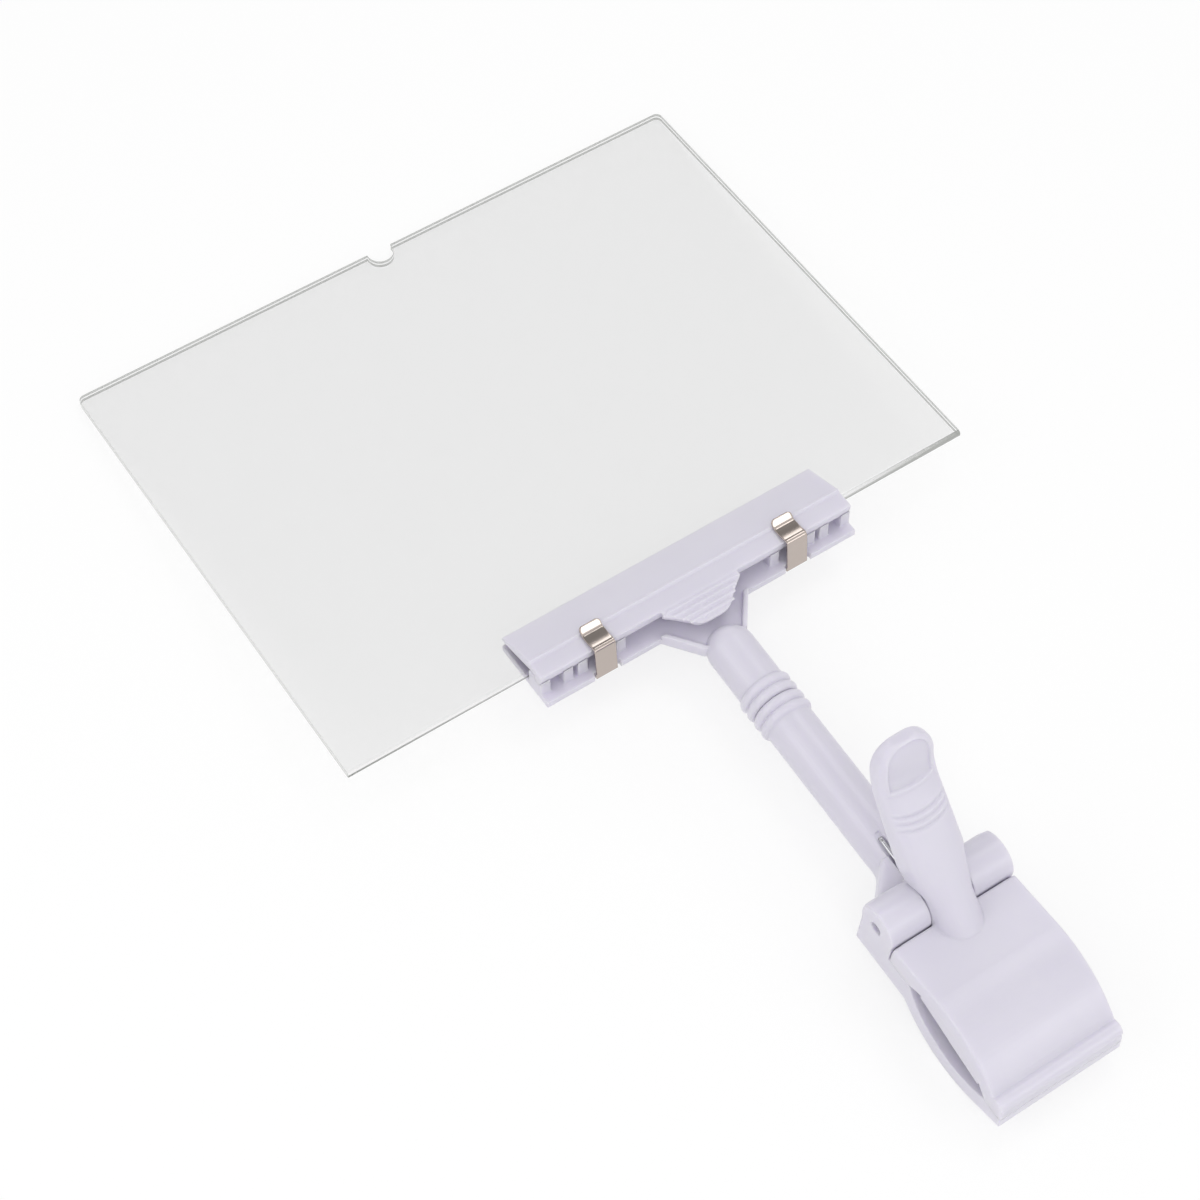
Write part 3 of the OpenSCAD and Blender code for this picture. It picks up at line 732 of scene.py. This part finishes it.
def even_points(row, spacing):
    """The same line with points at an even spacing."""
    reach = line_reaches(row)
    count = max(2, round(reach[-1] / spacing))
    even = []
    k = 0
    for i in range(count + 1):
        want = reach[-1] * i / count
        while k < len(row) - 2 and reach[k + 1] < want:
            k += 1
        step = reach[k + 1] - reach[k]
        share = (want - reach[k]) / step if step > 0 else 0.0
        even.append(row[k].lerp(row[k + 1], share))
    return even


def clip_line():
    """Line of a spring clip in the gripper frame, from its tongue to its rear curl."""
    up = math.radians(CLIP_TONGUE_RISE)
    curl_middle = (CLIP_CURL_Y, CLIP_FRONT + CLIP_CURL)
    curl = arc_points(curl_middle, CLIP_CURL, CLIP_TONGUE_RISE - 90, -90, 14)
    row = [curl[0] + CLIP_TONGUE * Vector((math.cos(up), math.sin(up)))] + curl
    # The front arm presses on the bar at the curl and rises again to the corner
    rise = math.radians(CLIP_RISE)
    corner = Vector((CLIP_PLATE + CLIP_BEND * (1 + math.sin(rise)), CLIP_FRONT + CLIP_CORNER))
    slope = CLIP_SLOPE * Vector((math.cos(rise), -math.sin(rise)))
    flat = [(y, CLIP_FRONT) for y in CLIP_FLAT]
    row += cubic_points(*flat, corner + slope, corner, 12)
    # The plate leans a little from the corner's bend to the heel
    middle = corner - CLIP_BEND * Vector((math.sin(rise), math.cos(rise)))
    row += arc_points(middle, CLIP_BEND, 90 - CLIP_RISE, 180 - CLIP_LEAN, 16)[1:]
    heel = (CLIP_HOOK + CLIP_HEEL, CLIP_BACK + CLIP_HEEL)
    row += arc_points(heel, CLIP_HEEL, 180 + CLIP_LEAN, 270, 10)
    row += [Vector((CLIP_REAR[0], CLIP_BACK))]
    row += arc_points((CLIP_REAR[1], CLIP_BACK - CLIP_REAR_CURL), CLIP_REAR_CURL, 90, 20, 8)
    return even_points(row, 0.2)


def strip_mesh(name, row, width):
    """Flat strip along a line in the gripper frame, with rounded corners at its two ends."""
    reach = line_reaches(row)
    columns = 13
    form = bmesh.new()
    grid = []
    for p, s in zip(row, reach):
        short = CLIP_ROUND - min(s, reach[-1] - s, CLIP_ROUND)
        half = width / 2 - CLIP_ROUND + math.sqrt(max(0.0, CLIP_ROUND ** 2 - short ** 2))
        grid.append([form.verts.new((half * (2 * j / (columns - 1) - 1), p.x, p.y))
                     for j in range(columns)])
    for low, high in zip(grid, grid[1:]):
        for j in range(columns - 1):
            form.faces.new((low[j], low[j + 1], high[j + 1], high[j]))
    return metre_mesh(form, name)


def share_between(low, high, value):
    """Share from 0 at one value to 1 at another, and no more than that beyond them."""
    return min(1.0, max(0.0, (value - low) / (high - low)))


def ease(low, high, value):
    """Smooth step from 0 at one value to 1 at another."""
    share = share_between(low, high, value)
    return share * share * (3 - 2 * share)


def round_off(start, length, value):
    """Share that falls from 1 to 0 along a quarter of an ellipse."""
    share = share_between(start, start + length, value)
    return math.sqrt(1 - share * share)


def lever_mesh(name):
    """Thumb-shaped lever from the hinge pin: round sections along a line that bends at the knuckle."""
    sides = 40
    step = 0.4
    form = bmesh.new()
    rings = []
    y, z = LEVER_START
    count = round((LEVER_POST + LEVER_TIP) / step)
    for i in range(count):
        reach = i * step
        over = reach - LEVER_POST
        bend = ease(-LEVER_BEND, LEVER_BEND, over)
        lean = math.radians(LEVER_POST_LEAN + (LEVER_TIP_LEAN - LEVER_POST_LEAN) * bend)
        widen = share_between(*LEVER_WIDEN, reach)
        half = LEVER_ROOT_HALF + (LEVER_HALF - LEVER_ROOT_HALF) * widen
        thin = share_between(LEVER_THIN_FROM, LEVER_POST, reach)
        deep = LEVER_ROOT_DEPTH + (LEVER_DEPTH - LEVER_ROOT_DEPTH) * thin
        square = LEVER_ROUND + LEVER_SQUARER * share_between(0, LEVER_SQUARE_FULL, reach)
        middle = Vector((0, y + deep * math.cos(lean), z - deep * math.sin(lean)))
        front = Vector((0, -math.cos(lean), math.sin(lean)))
        half *= round_off(*LEVER_END_WIDE, over)
        deep *= round_off(*LEVER_END_DEEP, over)
        ring = []
        for k in range(sides):
            a = 2 * math.pi * k / sides
            c = math.copysign(abs(math.cos(a)) ** (2 / square), math.cos(a))
            s = math.copysign(abs(math.sin(a)) ** (2 / square), math.sin(a))
            ring.append(form.verts.new(middle + Vector((half * c, 0, 0)) + front * deep * s))
        rings.append(ring)
        y += step * math.sin(lean)
        z += step * math.cos(lean)
    join_rings(form, rings)
    return metre_mesh(form, name)


def close_tip(mesh):
    """Lets the upper jaw's tip down on the lower jaw, and brings its front face flush with it."""
    tip = [vertex for vertex in mesh.vertices if vertex.co.y / MM - PIN_MM.y < JAW_TIP]
    low = min(vertex.co.z for vertex in tip) / MM
    for vertex in tip:
        height = vertex.co.z / MM - low
        out = ease(*TIP_FACE, JAW_TIP - (vertex.co.y / MM - PIN_MM.y))
        vertex.co.y -= TIP_FLUSH * MM * out * ease(*TIP_FLUSH_FADE, height)
        vertex.co.z -= TIP_GAP * MM * ease(*TIP_GAP_FADE, height)


def prism_mesh(name, outline, half):
    """Closed prism across the clamp, from an outline in Y and Z."""
    form = bmesh.new()
    left = [form.verts.new((-half, y, z)) for y, z in outline]
    right = [form.verts.new((half, y, z)) for y, z in outline]
    form.faces.new(left)
    form.faces.new(list(reversed(right)))
    for i in range(len(outline)):
        j = (i + 1) % len(outline)
        form.faces.new((left[i], right[i], right[j], left[j]))
    return metre_mesh(form, name)


def cut_prism(piece, outline, half, aside):
    """Cuts a prism at the hinge pin out of the piece, some way aside from the clamp's middle."""
    cutter = new_piece("cutter", prism_mesh("cutter", outline, half))
    cutter.data.transform(Matrix.Translation(PIN + Vector((aside * MM, 0, 0))))
    cut_away(piece, cutter)


def jaw_top(y, lift):
    """Point of the jaw's top beside the lever, lifted by a little."""
    return (y, JAW_BACK[1] + JAW_RISE * (JAW_BACK[0] - y) + lift)


def barrel_row(radius):
    """Points over the hinge barrel, from its front to its back."""
    return [tuple(p) for p in arc_points((0, 0), radius, 176, -20, 40)]


def leg_room():
    """Outline of the slot for the spring's leg, open at the lever's back."""
    lean = math.radians(LEG_LEAN)
    up = Vector((math.sin(lean), math.cos(lean)))
    back = Vector((math.cos(lean), -math.sin(lean)))
    front = -COIL_R - LEG_ROOM
    behind = 9
    top = LEVER_LEG + 1
    corners = ((front, 0), (front, top), (behind, top), (behind, 0))
    return [tuple(back * across + up * along) for across, along in corners]


def nail_inside(x, rise):
    """How far a place on the lever's tip lies inside the nail's edge."""
    low = rise + NAIL_LOW - NAIL_SAG * (x / NAIL_HALF) ** 2
    if rise < NAIL_MIDDLE:
        return min(low, NAIL_HALF - abs(x))
    spread = abs(x / NAIL_HALF) ** NAIL_POWER + ((rise - NAIL_MIDDLE) / NAIL_HALF) ** NAIL_POWER
    return min(low, NAIL_HALF * (1 - spread ** (1 / NAIL_POWER)))


def press_marks(mesh):
    """Presses the nail with its rim, and the knuckle's creases, into the lever's front."""
    post = math.radians(LEVER_POST_LEAN)
    tip = math.radians(LEVER_TIP_LEAN)
    root = Vector((0, *LEVER_START))
    up_post = Vector((0, math.sin(post), math.cos(post)))
    up_tip = Vector((0, math.sin(tip), math.cos(tip)))
    out_post = Vector((0, -math.cos(post), math.sin(post)))
    out_tip = Vector((0, -math.cos(tip), math.sin(tip)))
    knee = root + up_post * LEVER_POST
    # How each vertex faces is read before any of them moves and changes the normals
    facings = [(vertex.index, vertex.normal.dot(out_post)) for vertex in mesh.vertices
               if vertex.co.z / MM - PIN_MM.z > MARKS_LOW]
    for index, facing in facings:
        if facing <= MARKS_FACING[0]:
            continue
        vertex = mesh.vertices[index]
        place = vertex.co / MM - PIN_MM
        inside = nail_inside(place.x, (place - knee).dot(up_tip))
        rim = NAIL_RIM_HIGH * max(0.0, 1 - ((inside + NAIL_RIM_OUT) / NAIL_RIM_HALF) ** 2)
        pit = NAIL_DEEP * ease(*NAIL_WALL, inside)
        press = out_tip * (rim - pit) * ease(*MARKS_FACING, facing)
        along = (place - root).dot(up_post) - CREASE_SAG * place.x ** 2
        fade = ease(LEVER_HALF, CREASE_HALF, abs(place.x))
        for crease in CREASES:
            groove = math.exp(-((along - crease) / CREASE_WIDE) ** 2)
            swell = SWELL_SHARE * math.exp(-((along - crease - SWELL_ABOVE) / SWELL_WIDE) ** 2)
            press -= out_post * CREASE_DEEP * (groove - swell) * fade
        vertex.co += press * MM


def coil_points():
    """Line of the torsion spring from the hinge pin: arm leg, coils and lever leg."""
    sink = math.atan2(LEG_SINK, ARM_LEG)
    tilt = math.asin(COIL_R / math.hypot(ARM_LEG, LEG_SINK)) - sink
    lean = math.radians(LEG_LEAN)
    turns = COILS + (math.pi / 2 + tilt + lean) / (2 * math.pi)
    half = turns * COIL_PITCH / 2
    steps = 40 * COILS
    coil = []
    for i in range(steps + 1):
        share = i / steps
        a = tilt - math.pi / 2 - share * 2 * math.pi * turns
        coil.append(Vector((half * (2 * share - 1), COIL_R * math.cos(a), COIL_R * math.sin(a))))
    out = Vector((0, math.cos(tilt), math.sin(tilt)))
    up = Vector((0, math.sin(lean), math.cos(lean)))
    arm_leg = [coil[0] + out * ARM_LEG * (12 - i) / 12 for i in range(12)]
    lever_leg = [coil[-1] + up * LEVER_LEG * i / 10 for i in range(1, 11)]
    return arm_leg + coil + lever_leg, half


def wire_mesh(name, row, diameter):
    """Round wire along a line, with closed ends."""
    sides = 14
    form = bmesh.new()
    rings = []
    side = None
    for i, p in enumerate(row):
        ahead = (row[min(i + 1, len(row) - 1)] - row[max(i - 1, 0)]).normalized()
        first = Vector((1, 0, 0)) if side is None else side
        side = (first - ahead * first.dot(ahead)).normalized()
        other = ahead.cross(side)
        ring = []
        for k in range(sides):
            a = 2 * math.pi * k / sides
            ring.append(form.verts.new(p + diameter / 2 * (side * math.cos(a) + other * math.sin(a))))
        rings.append(ring)
    join_rings(form, rings)
    return metre_mesh(form, name)


class SIGNHOLDER_OT_sleeve(bpy.types.Operator):
    """Clear folded sleeve with its cut edges"""

    bl_idname = "sign_holder.sleeve"
    bl_label = "Clear sleeve"

    def execute(self, context):
        form = welded_form("sign_sleeve")
        bmesh.ops.dissolve_limit(
            form, angle_limit=math.radians(0.5), verts=form.verts, edges=form.edges)
        form.normal_update()
        back = gripper_matrix().inverted()
        kinds = [self.face_kind(face, back) for face in form.faces]
        mesh = form_mesh(form, "clear_sleeve")
        piece = new_piece(
            "clear_sleeve", mesh, shared(clear_pvc), shared(cut_pvc), shared(folded_pvc))
        mesh.polygons.foreach_set("material_index", kinds)
        mesh.polygons.foreach_set("use_smooth", [kind == FOLD for kind in kinds])
        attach(piece, "sleeve")
        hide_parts("sign_sleeve")
        return {"FINISHED"}

    def face_kind(self, face, back):
        """Kind of a face: a wall or the fold's inside, a cut edge, or the fold's outside."""
        normal = back.to_3x3() @ face.normal
        near_fold = (back @ face.calc_center_median()).y < FOLD_REACH * MM
        if abs(normal.z) > 0.98 or (near_fold and normal.y > 0.1):
            return WALL
        return FOLD if normal.y < -0.1 else CUT


class SIGNHOLDER_OT_gripper(bpy.types.Operator):
    """Two gripper jaws, the rear one with its bracket and stem"""

    bl_idname = "sign_holder.gripper"
    bl_label = "Gripper jaws"

    def execute(self, context):
        front = skinned_piece("front_jaw_with_tab", "gripper_front_jaw", rounds=3, reshape=spread_tab)
        soften(front, tab_rim(front.data), rounds=14)
        finish_moulding(front, "gripper_front_jaw", "front_jaw")
        rear = skinned_piece("rear_jaw_with_stem", "gripper_rear_jaw", rounds=4)
        finish_moulding(rear, "gripper_rear_jaw", "head")
        return {"FINISHED"}


class SIGNHOLDER_OT_clips(bpy.types.Operator):
    """Two bent spring clips that press the gripper's jaws together"""

    bl_idname = "sign_holder.clips"
    bl_label = "Spring clips"

    def execute(self, context):
        sizes = context.scene.sign_holder_sizes
        place = gripper_matrix()
        for node in ("spring_clip_left", "spring_clip_right"):
            low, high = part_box(node)
            aside = (low.x + high.x) / 2 - place.translation.x
            name = node.replace("spring_clip", "clip_strip")
            mesh = strip_mesh(name, clip_line(), sizes.strip_width / MM)
            piece = new_piece(name, mesh, shared(nickel_plate))
            body = piece.modifiers.new("Strip thickness", "SOLIDIFY")
            body.thickness = sizes.strip_thickness
            body.offset = 0.0
            edge = piece.modifiers.new("Tumbled edges", "BEVEL")
            edge.width = CLIP_EDGE * MM
            edge.segments = 2
            edge.limit_method = "ANGLE"
            edge.angle_limit = math.radians(50)
            apply_modifiers(piece)
            piece.data.transform(place @ Matrix.Translation((aside, 0, 0)))
            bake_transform(piece)
            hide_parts(node)
        return {"FINISHED"}


class SIGNHOLDER_OT_arm(bpy.types.Operator):
    """Arm with the hinge block and the lower jaw"""

    bl_idname = "sign_holder.arm"
    bl_label = "Arm and lower jaw"

    def execute(self, context):
        arm = skinned_piece("arm_with_lower_jaw", "clamp_arm", rounds=3, reshape=flush_block)
        rounds = 300
        soften(arm, flare_sides(arm.data), rounds)
        finish_moulding(arm, "clamp_arm", "arm")
        return {"FINISHED"}


class SIGNHOLDER_OT_upper_jaw(bpy.types.Operator):
    """Upper jaw in one piece with its thumb lever"""

    bl_idname = "sign_holder.upper_jaw"
    bl_label = "Upper jaw and lever"

    def execute(self, context):
        jaw = new_piece("jaw", form_mesh(welded_form("upper_jaw"), "jaw"))
        # The lever of the CAD node comes off above the jaw's top
        front, back, top, foot = CAD_LEVER
        above = [(back, top), (front, top), jaw_top(front, JAW_SPARED)]
        above += [jaw_top(JAW_BACK[0], JAW_SPARED)] + barrel_row(BARREL) + [(back, foot)]
        cut_prism(jaw, above, CUT_HALF, 0)
        lever = new_piece("lever", lever_mesh("lever"))
        lever.data.transform(Matrix.Translation(PIN))
        # The new lever ends a little below the jaw's top
        front, back, foot = UNDER_LEVER
        below = [(front, foot), jaw_top(front, -LEVER_SUNK), jaw_top(JAW_TOP_END, -LEVER_SUNK)]
        below += barrel_row(BARREL - BARREL_SUNK) + [(back, foot)]
        cut_prism(lever, below, CUT_HALF, 0)
        knuckle = [tuple(p) for p in arc_points((0, 0), BARREL + KNUCKLE_ROOM, 0, 354, 59)]
        for side in (-1, 1):
            cut_prism(lever, knuckle, KNUCKLE_HALF, side * (LEVER_SLOT + KNUCKLE_HALF))
        cut_prism(lever, leg_room(), LEG_ROOM, coil_points()[1])
        name = "upper_jaw_with_lever"
        piece = new_piece(name, joined_mesh(name, jaw, lever))
        soft_skin(piece, rounds=4)
        lowest = PIN.z + JAW_SOFT_LOW * MM
        soften(piece, [v.index for v in piece.data.vertices if v.co.z > lowest], rounds=12)
        soften(piece, jaw_sides(piece.data), rounds=40)
        close_tip(piece.data)
        press_marks(piece.data)
        finish_moulding(piece, "upper_jaw", "jaw")
        return {"FINISHED"}


class SIGNHOLDER_OT_hinge(bpy.types.Operator):
    """Hinge pin and torsion spring"""

    bl_idname = "sign_holder.hinge"
    bl_label = "Hinge pin and spring"

    def execute(self, context):
        row, half = coil_points()
        wire = context.scene.sign_holder_sizes.wire / MM
        piece = new_piece("spring_wire", wire_mesh("spring_wire", row, wire), shared(bright_steel))
        piece.data.transform(Matrix.Translation(PIN))
        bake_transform(piece)
        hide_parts("torsion_spring")
        shaft = frame["nodes"]["hinge_pin"]
        shaft.data.materials.clear()
        shaft.data.materials.append(shared(bright_steel))
        return {"FINISHED"}


def toward_light(turn, rise):
    """Direction at a turn from the X axis and a rise above the table, in degrees."""
    a = math.radians(turn)
    b = math.radians(rise)
    return Vector((math.cos(a) * math.cos(b), math.sin(a) * math.cos(b), math.sin(b)))


class SIGNHOLDER_OT_stage(bpy.types.Operator):
    """White table, soft studio light and the camera"""

    bl_idname = "sign_holder.stage"
    bl_label = "Stage"

    def execute(self, context):
        scene = context.scene
        scene.view_settings.view_transform = "Standard"
        self.make_table(scene)
        self.make_world(scene)
        self.make_softboxes(scene)
        self.make_camera(scene)
        return {"FINISHED"}

    def seen_directly(self, tree):
        """Factor that is one for what the camera sees, also in a mirror or through glass."""
        path = add_node(tree, "ShaderNodeLightPath")
        first = add_node(
            tree, "ShaderNodeMath", None,
            {0: path.outputs["Is Camera Ray"], 1: path.outputs["Is Glossy Ray"]},
            operation="MAXIMUM",
        )
        return add_node(
            tree, "ShaderNodeMath", None,
            {0: first.outputs["Value"], 1: path.outputs["Is Transmission Ray"]},
            operation="MAXIMUM",
        )

    def make_table(self, scene):
        """Large white table that keeps a faint shadow."""
        material, tree, output = empty_material("Table, white studio card")
        seen = self.seen_directly(tree)
        faint = add_node(
            tree, "ShaderNodeMath", {1: TABLE_GLOW_SHARE}, {0: seen.outputs["Value"]},
            operation="MULTIPLY",
        )
        card = add_node(tree, "ShaderNodeBsdfDiffuse", {"Color": TABLE_WHITE})
        glow = add_node(tree, "ShaderNodeEmission", {"Strength": TABLE_GLOW})
        both = add_node(
            tree, "ShaderNodeMixShader", None,
            {0: faint.outputs["Value"], 1: card.outputs["BSDF"], 2: glow.outputs["Emission"]},
        )
        tree.links.new(both.outputs["Shader"], output.inputs["Surface"])
        form = bmesh.new()
        bmesh.ops.create_grid(form, x_segments=1, y_segments=1, size=TABLE_HALF)
        table = new_piece("table", form_mesh(form, "table"), material)
        table.location.z = -TABLE_DROP * MM

    def make_world(self, scene):
        """Even light from all sides, plain white where it is seen, with a dark end to be mirrored."""
        world = bpy.data.worlds.new("Studio tent")
        scene.world = world
        world.use_nodes = True
        tree = world.node_tree
        tree.nodes.clear()
        path = add_node(tree, "ShaderNodeLightPath")
        way = add_node(tree, "ShaderNodeTexCoord").outputs["Generated"]
        toward = add_node(
            tree, "ShaderNodeVectorMath", {1: toward_light(*DARK_END)}, {0: way},
            operation="DOT_PRODUCT",
        )
        dark_end = add_node(
            tree, "ShaderNodeMapRange",
            {"From Min": DARK_RIM[0], "From Max": DARK_RIM[1],
             "To Min": TENT_MIRRORED, "To Max": TENT_DARK},
            {"Value": toward.outputs["Value"]}, interpolation_type="SMOOTHSTEP",
        )
        mirrored = add_node(
            tree, "ShaderNodeMix", {2: TENT_LIGHT},
            {0: path.outputs["Is Glossy Ray"], 3: dark_end.outputs["Result"]},
        )
        plain = add_node(
            tree, "ShaderNodeMath", None,
            {0: path.outputs["Is Camera Ray"], 1: path.outputs["Is Transmission Ray"]},
            operation="MAXIMUM",
        )
        light = add_node(
            tree, "ShaderNodeMix", {3: 1.0},
            {0: plain.outputs["Value"], 2: mirrored.outputs[0]},
        )
        tent = add_node(
            tree, "ShaderNodeBackground", {"Color": (1.0, 1.0, 1.0, 1.0)},
            {"Strength": light.outputs[0]},
        )
        add_node(tree, "ShaderNodeOutputWorld", None, {"Surface": tent.outputs["Background"]})

    def make_softboxes(self, scene):
        """Soft boxes round the holder, of which the fill by the camera isn't mirrored."""
        # Turn and rise of each, its width and height in metres, and its brightness
        boxes = (
            ("key_box", -85.0, 22.0, 0.70, 0.30, 0.6),
            ("right_box", 34.0, 60.0, 0.28, 0.36, 2.3),
            ("front_box", -66.0, 33.0, 0.36, 0.20, 2.2),
            ("back_box", 71.0, 24.0, 0.24, 0.12, 2.0),
            ("left_box", 165.0, 38.0, 0.50, 0.40, 1.6),
            ("fill_box", -128.0, 59.0, 0.50, 0.40, 2.0),
        )
        for name, turn, rise, wide, high, bright in boxes:
            lamp = bpy.data.lights.new(name, "AREA")
            lamp.shape = "RECTANGLE"
            lamp.size = wide
            lamp.size_y = high
            lamp.energy = bright * math.pi * wide * high
            holder = bpy.data.objects.new(name, lamp)
            away = toward_light(turn, rise)
            holder.location = Vector(BOX_AIM) + BOX_AWAY * away
            holder.rotation_mode = "QUATERNION"
            holder.rotation_quaternion = (-away).to_track_quat("-Z", "Y")
            holder.visible_glossy = name != "fill_box"
            scene.collection.objects.link(holder)

    def make_camera(self, scene):
        """Camera at the photograph's place."""
        data = bpy.data.cameras.new("camera")
        data.lens = CAMERA_LENS
        data.sensor_width = CAMERA_SENSOR
        data.clip_start = 0.01
        data.clip_end = 50.0
        camera = bpy.data.objects.new("camera", data)
        down = math.radians(90.0 - CAMERA_ELEVATION)
        heading = math.radians(-CAMERA_HEADING)
        roll = Matrix.Rotation(math.radians(CAMERA_ROLL), 4, "Z")
        turn = Euler((down, 0, heading)).to_matrix().to_4x4() @ roll
        back = turn.to_3x3() @ Vector((0, 0, CAMERA_DISTANCE * MM))
        camera.matrix_world = Matrix.Translation(Vector(CAMERA_AIM) * MM + back) @ turn
        scene.collection.objects.link(camera)
        scene.camera = camera


OPERATORS = (
    SIGNHOLDER_OT_sleeve,
    SIGNHOLDER_OT_gripper,
    SIGNHOLDER_OT_clips,
    SIGNHOLDER_OT_arm,
    SIGNHOLDER_OT_upper_jaw,
    SIGNHOLDER_OT_hinge,
    SIGNHOLDER_OT_stage,
)


class SIGNHOLDER_PT_panel(bpy.types.Panel):
    """Panel with the holder's pieces, colours and sizes"""

    bl_idname = "SIGNHOLDER_PT_panel"
    bl_label = "Sign Holder"
    bl_space_type = "VIEW_3D"
    bl_region_type = "UI"
    bl_category = "Sign Holder"

    def draw(self, context):
        layout = self.layout
        for operator in OPERATORS:
            layout.operator(operator.bl_idname)
        for group in (context.scene.sign_holder_colours, context.scene.sign_holder_sizes):
            for name in group.__annotations__:
                layout.prop(group, name)


CLASSES = (SignHolderColours, SignHolderSizes, *OPERATORS, SIGNHOLDER_PT_panel)


def register():
    """Makes the classes and the settings known to Blender."""
    for item in CLASSES:
        bpy.utils.register_class(item)
    bpy.types.Scene.sign_holder_colours = bpy.props.PointerProperty(type=SignHolderColours)
    bpy.types.Scene.sign_holder_sizes = bpy.props.PointerProperty(type=SignHolderSizes)


def unregister():
    """Takes the settings and the classes away again."""
    del bpy.types.Scene.sign_holder_sizes
    del bpy.types.Scene.sign_holder_colours
    for item in reversed(CLASSES):
        bpy.utils.unregister_class(item)


def main():
    """Builds all pieces and the stage."""
    register()
    bpy.ops.sign_holder.sleeve()
    bpy.ops.sign_holder.gripper()
    bpy.ops.sign_holder.clips()
    bpy.ops.sign_holder.arm()
    bpy.ops.sign_holder.upper_jaw()
    bpy.ops.sign_holder.hinge()
    bpy.ops.sign_holder.stage()


if __name__ == "__main__":
    main()
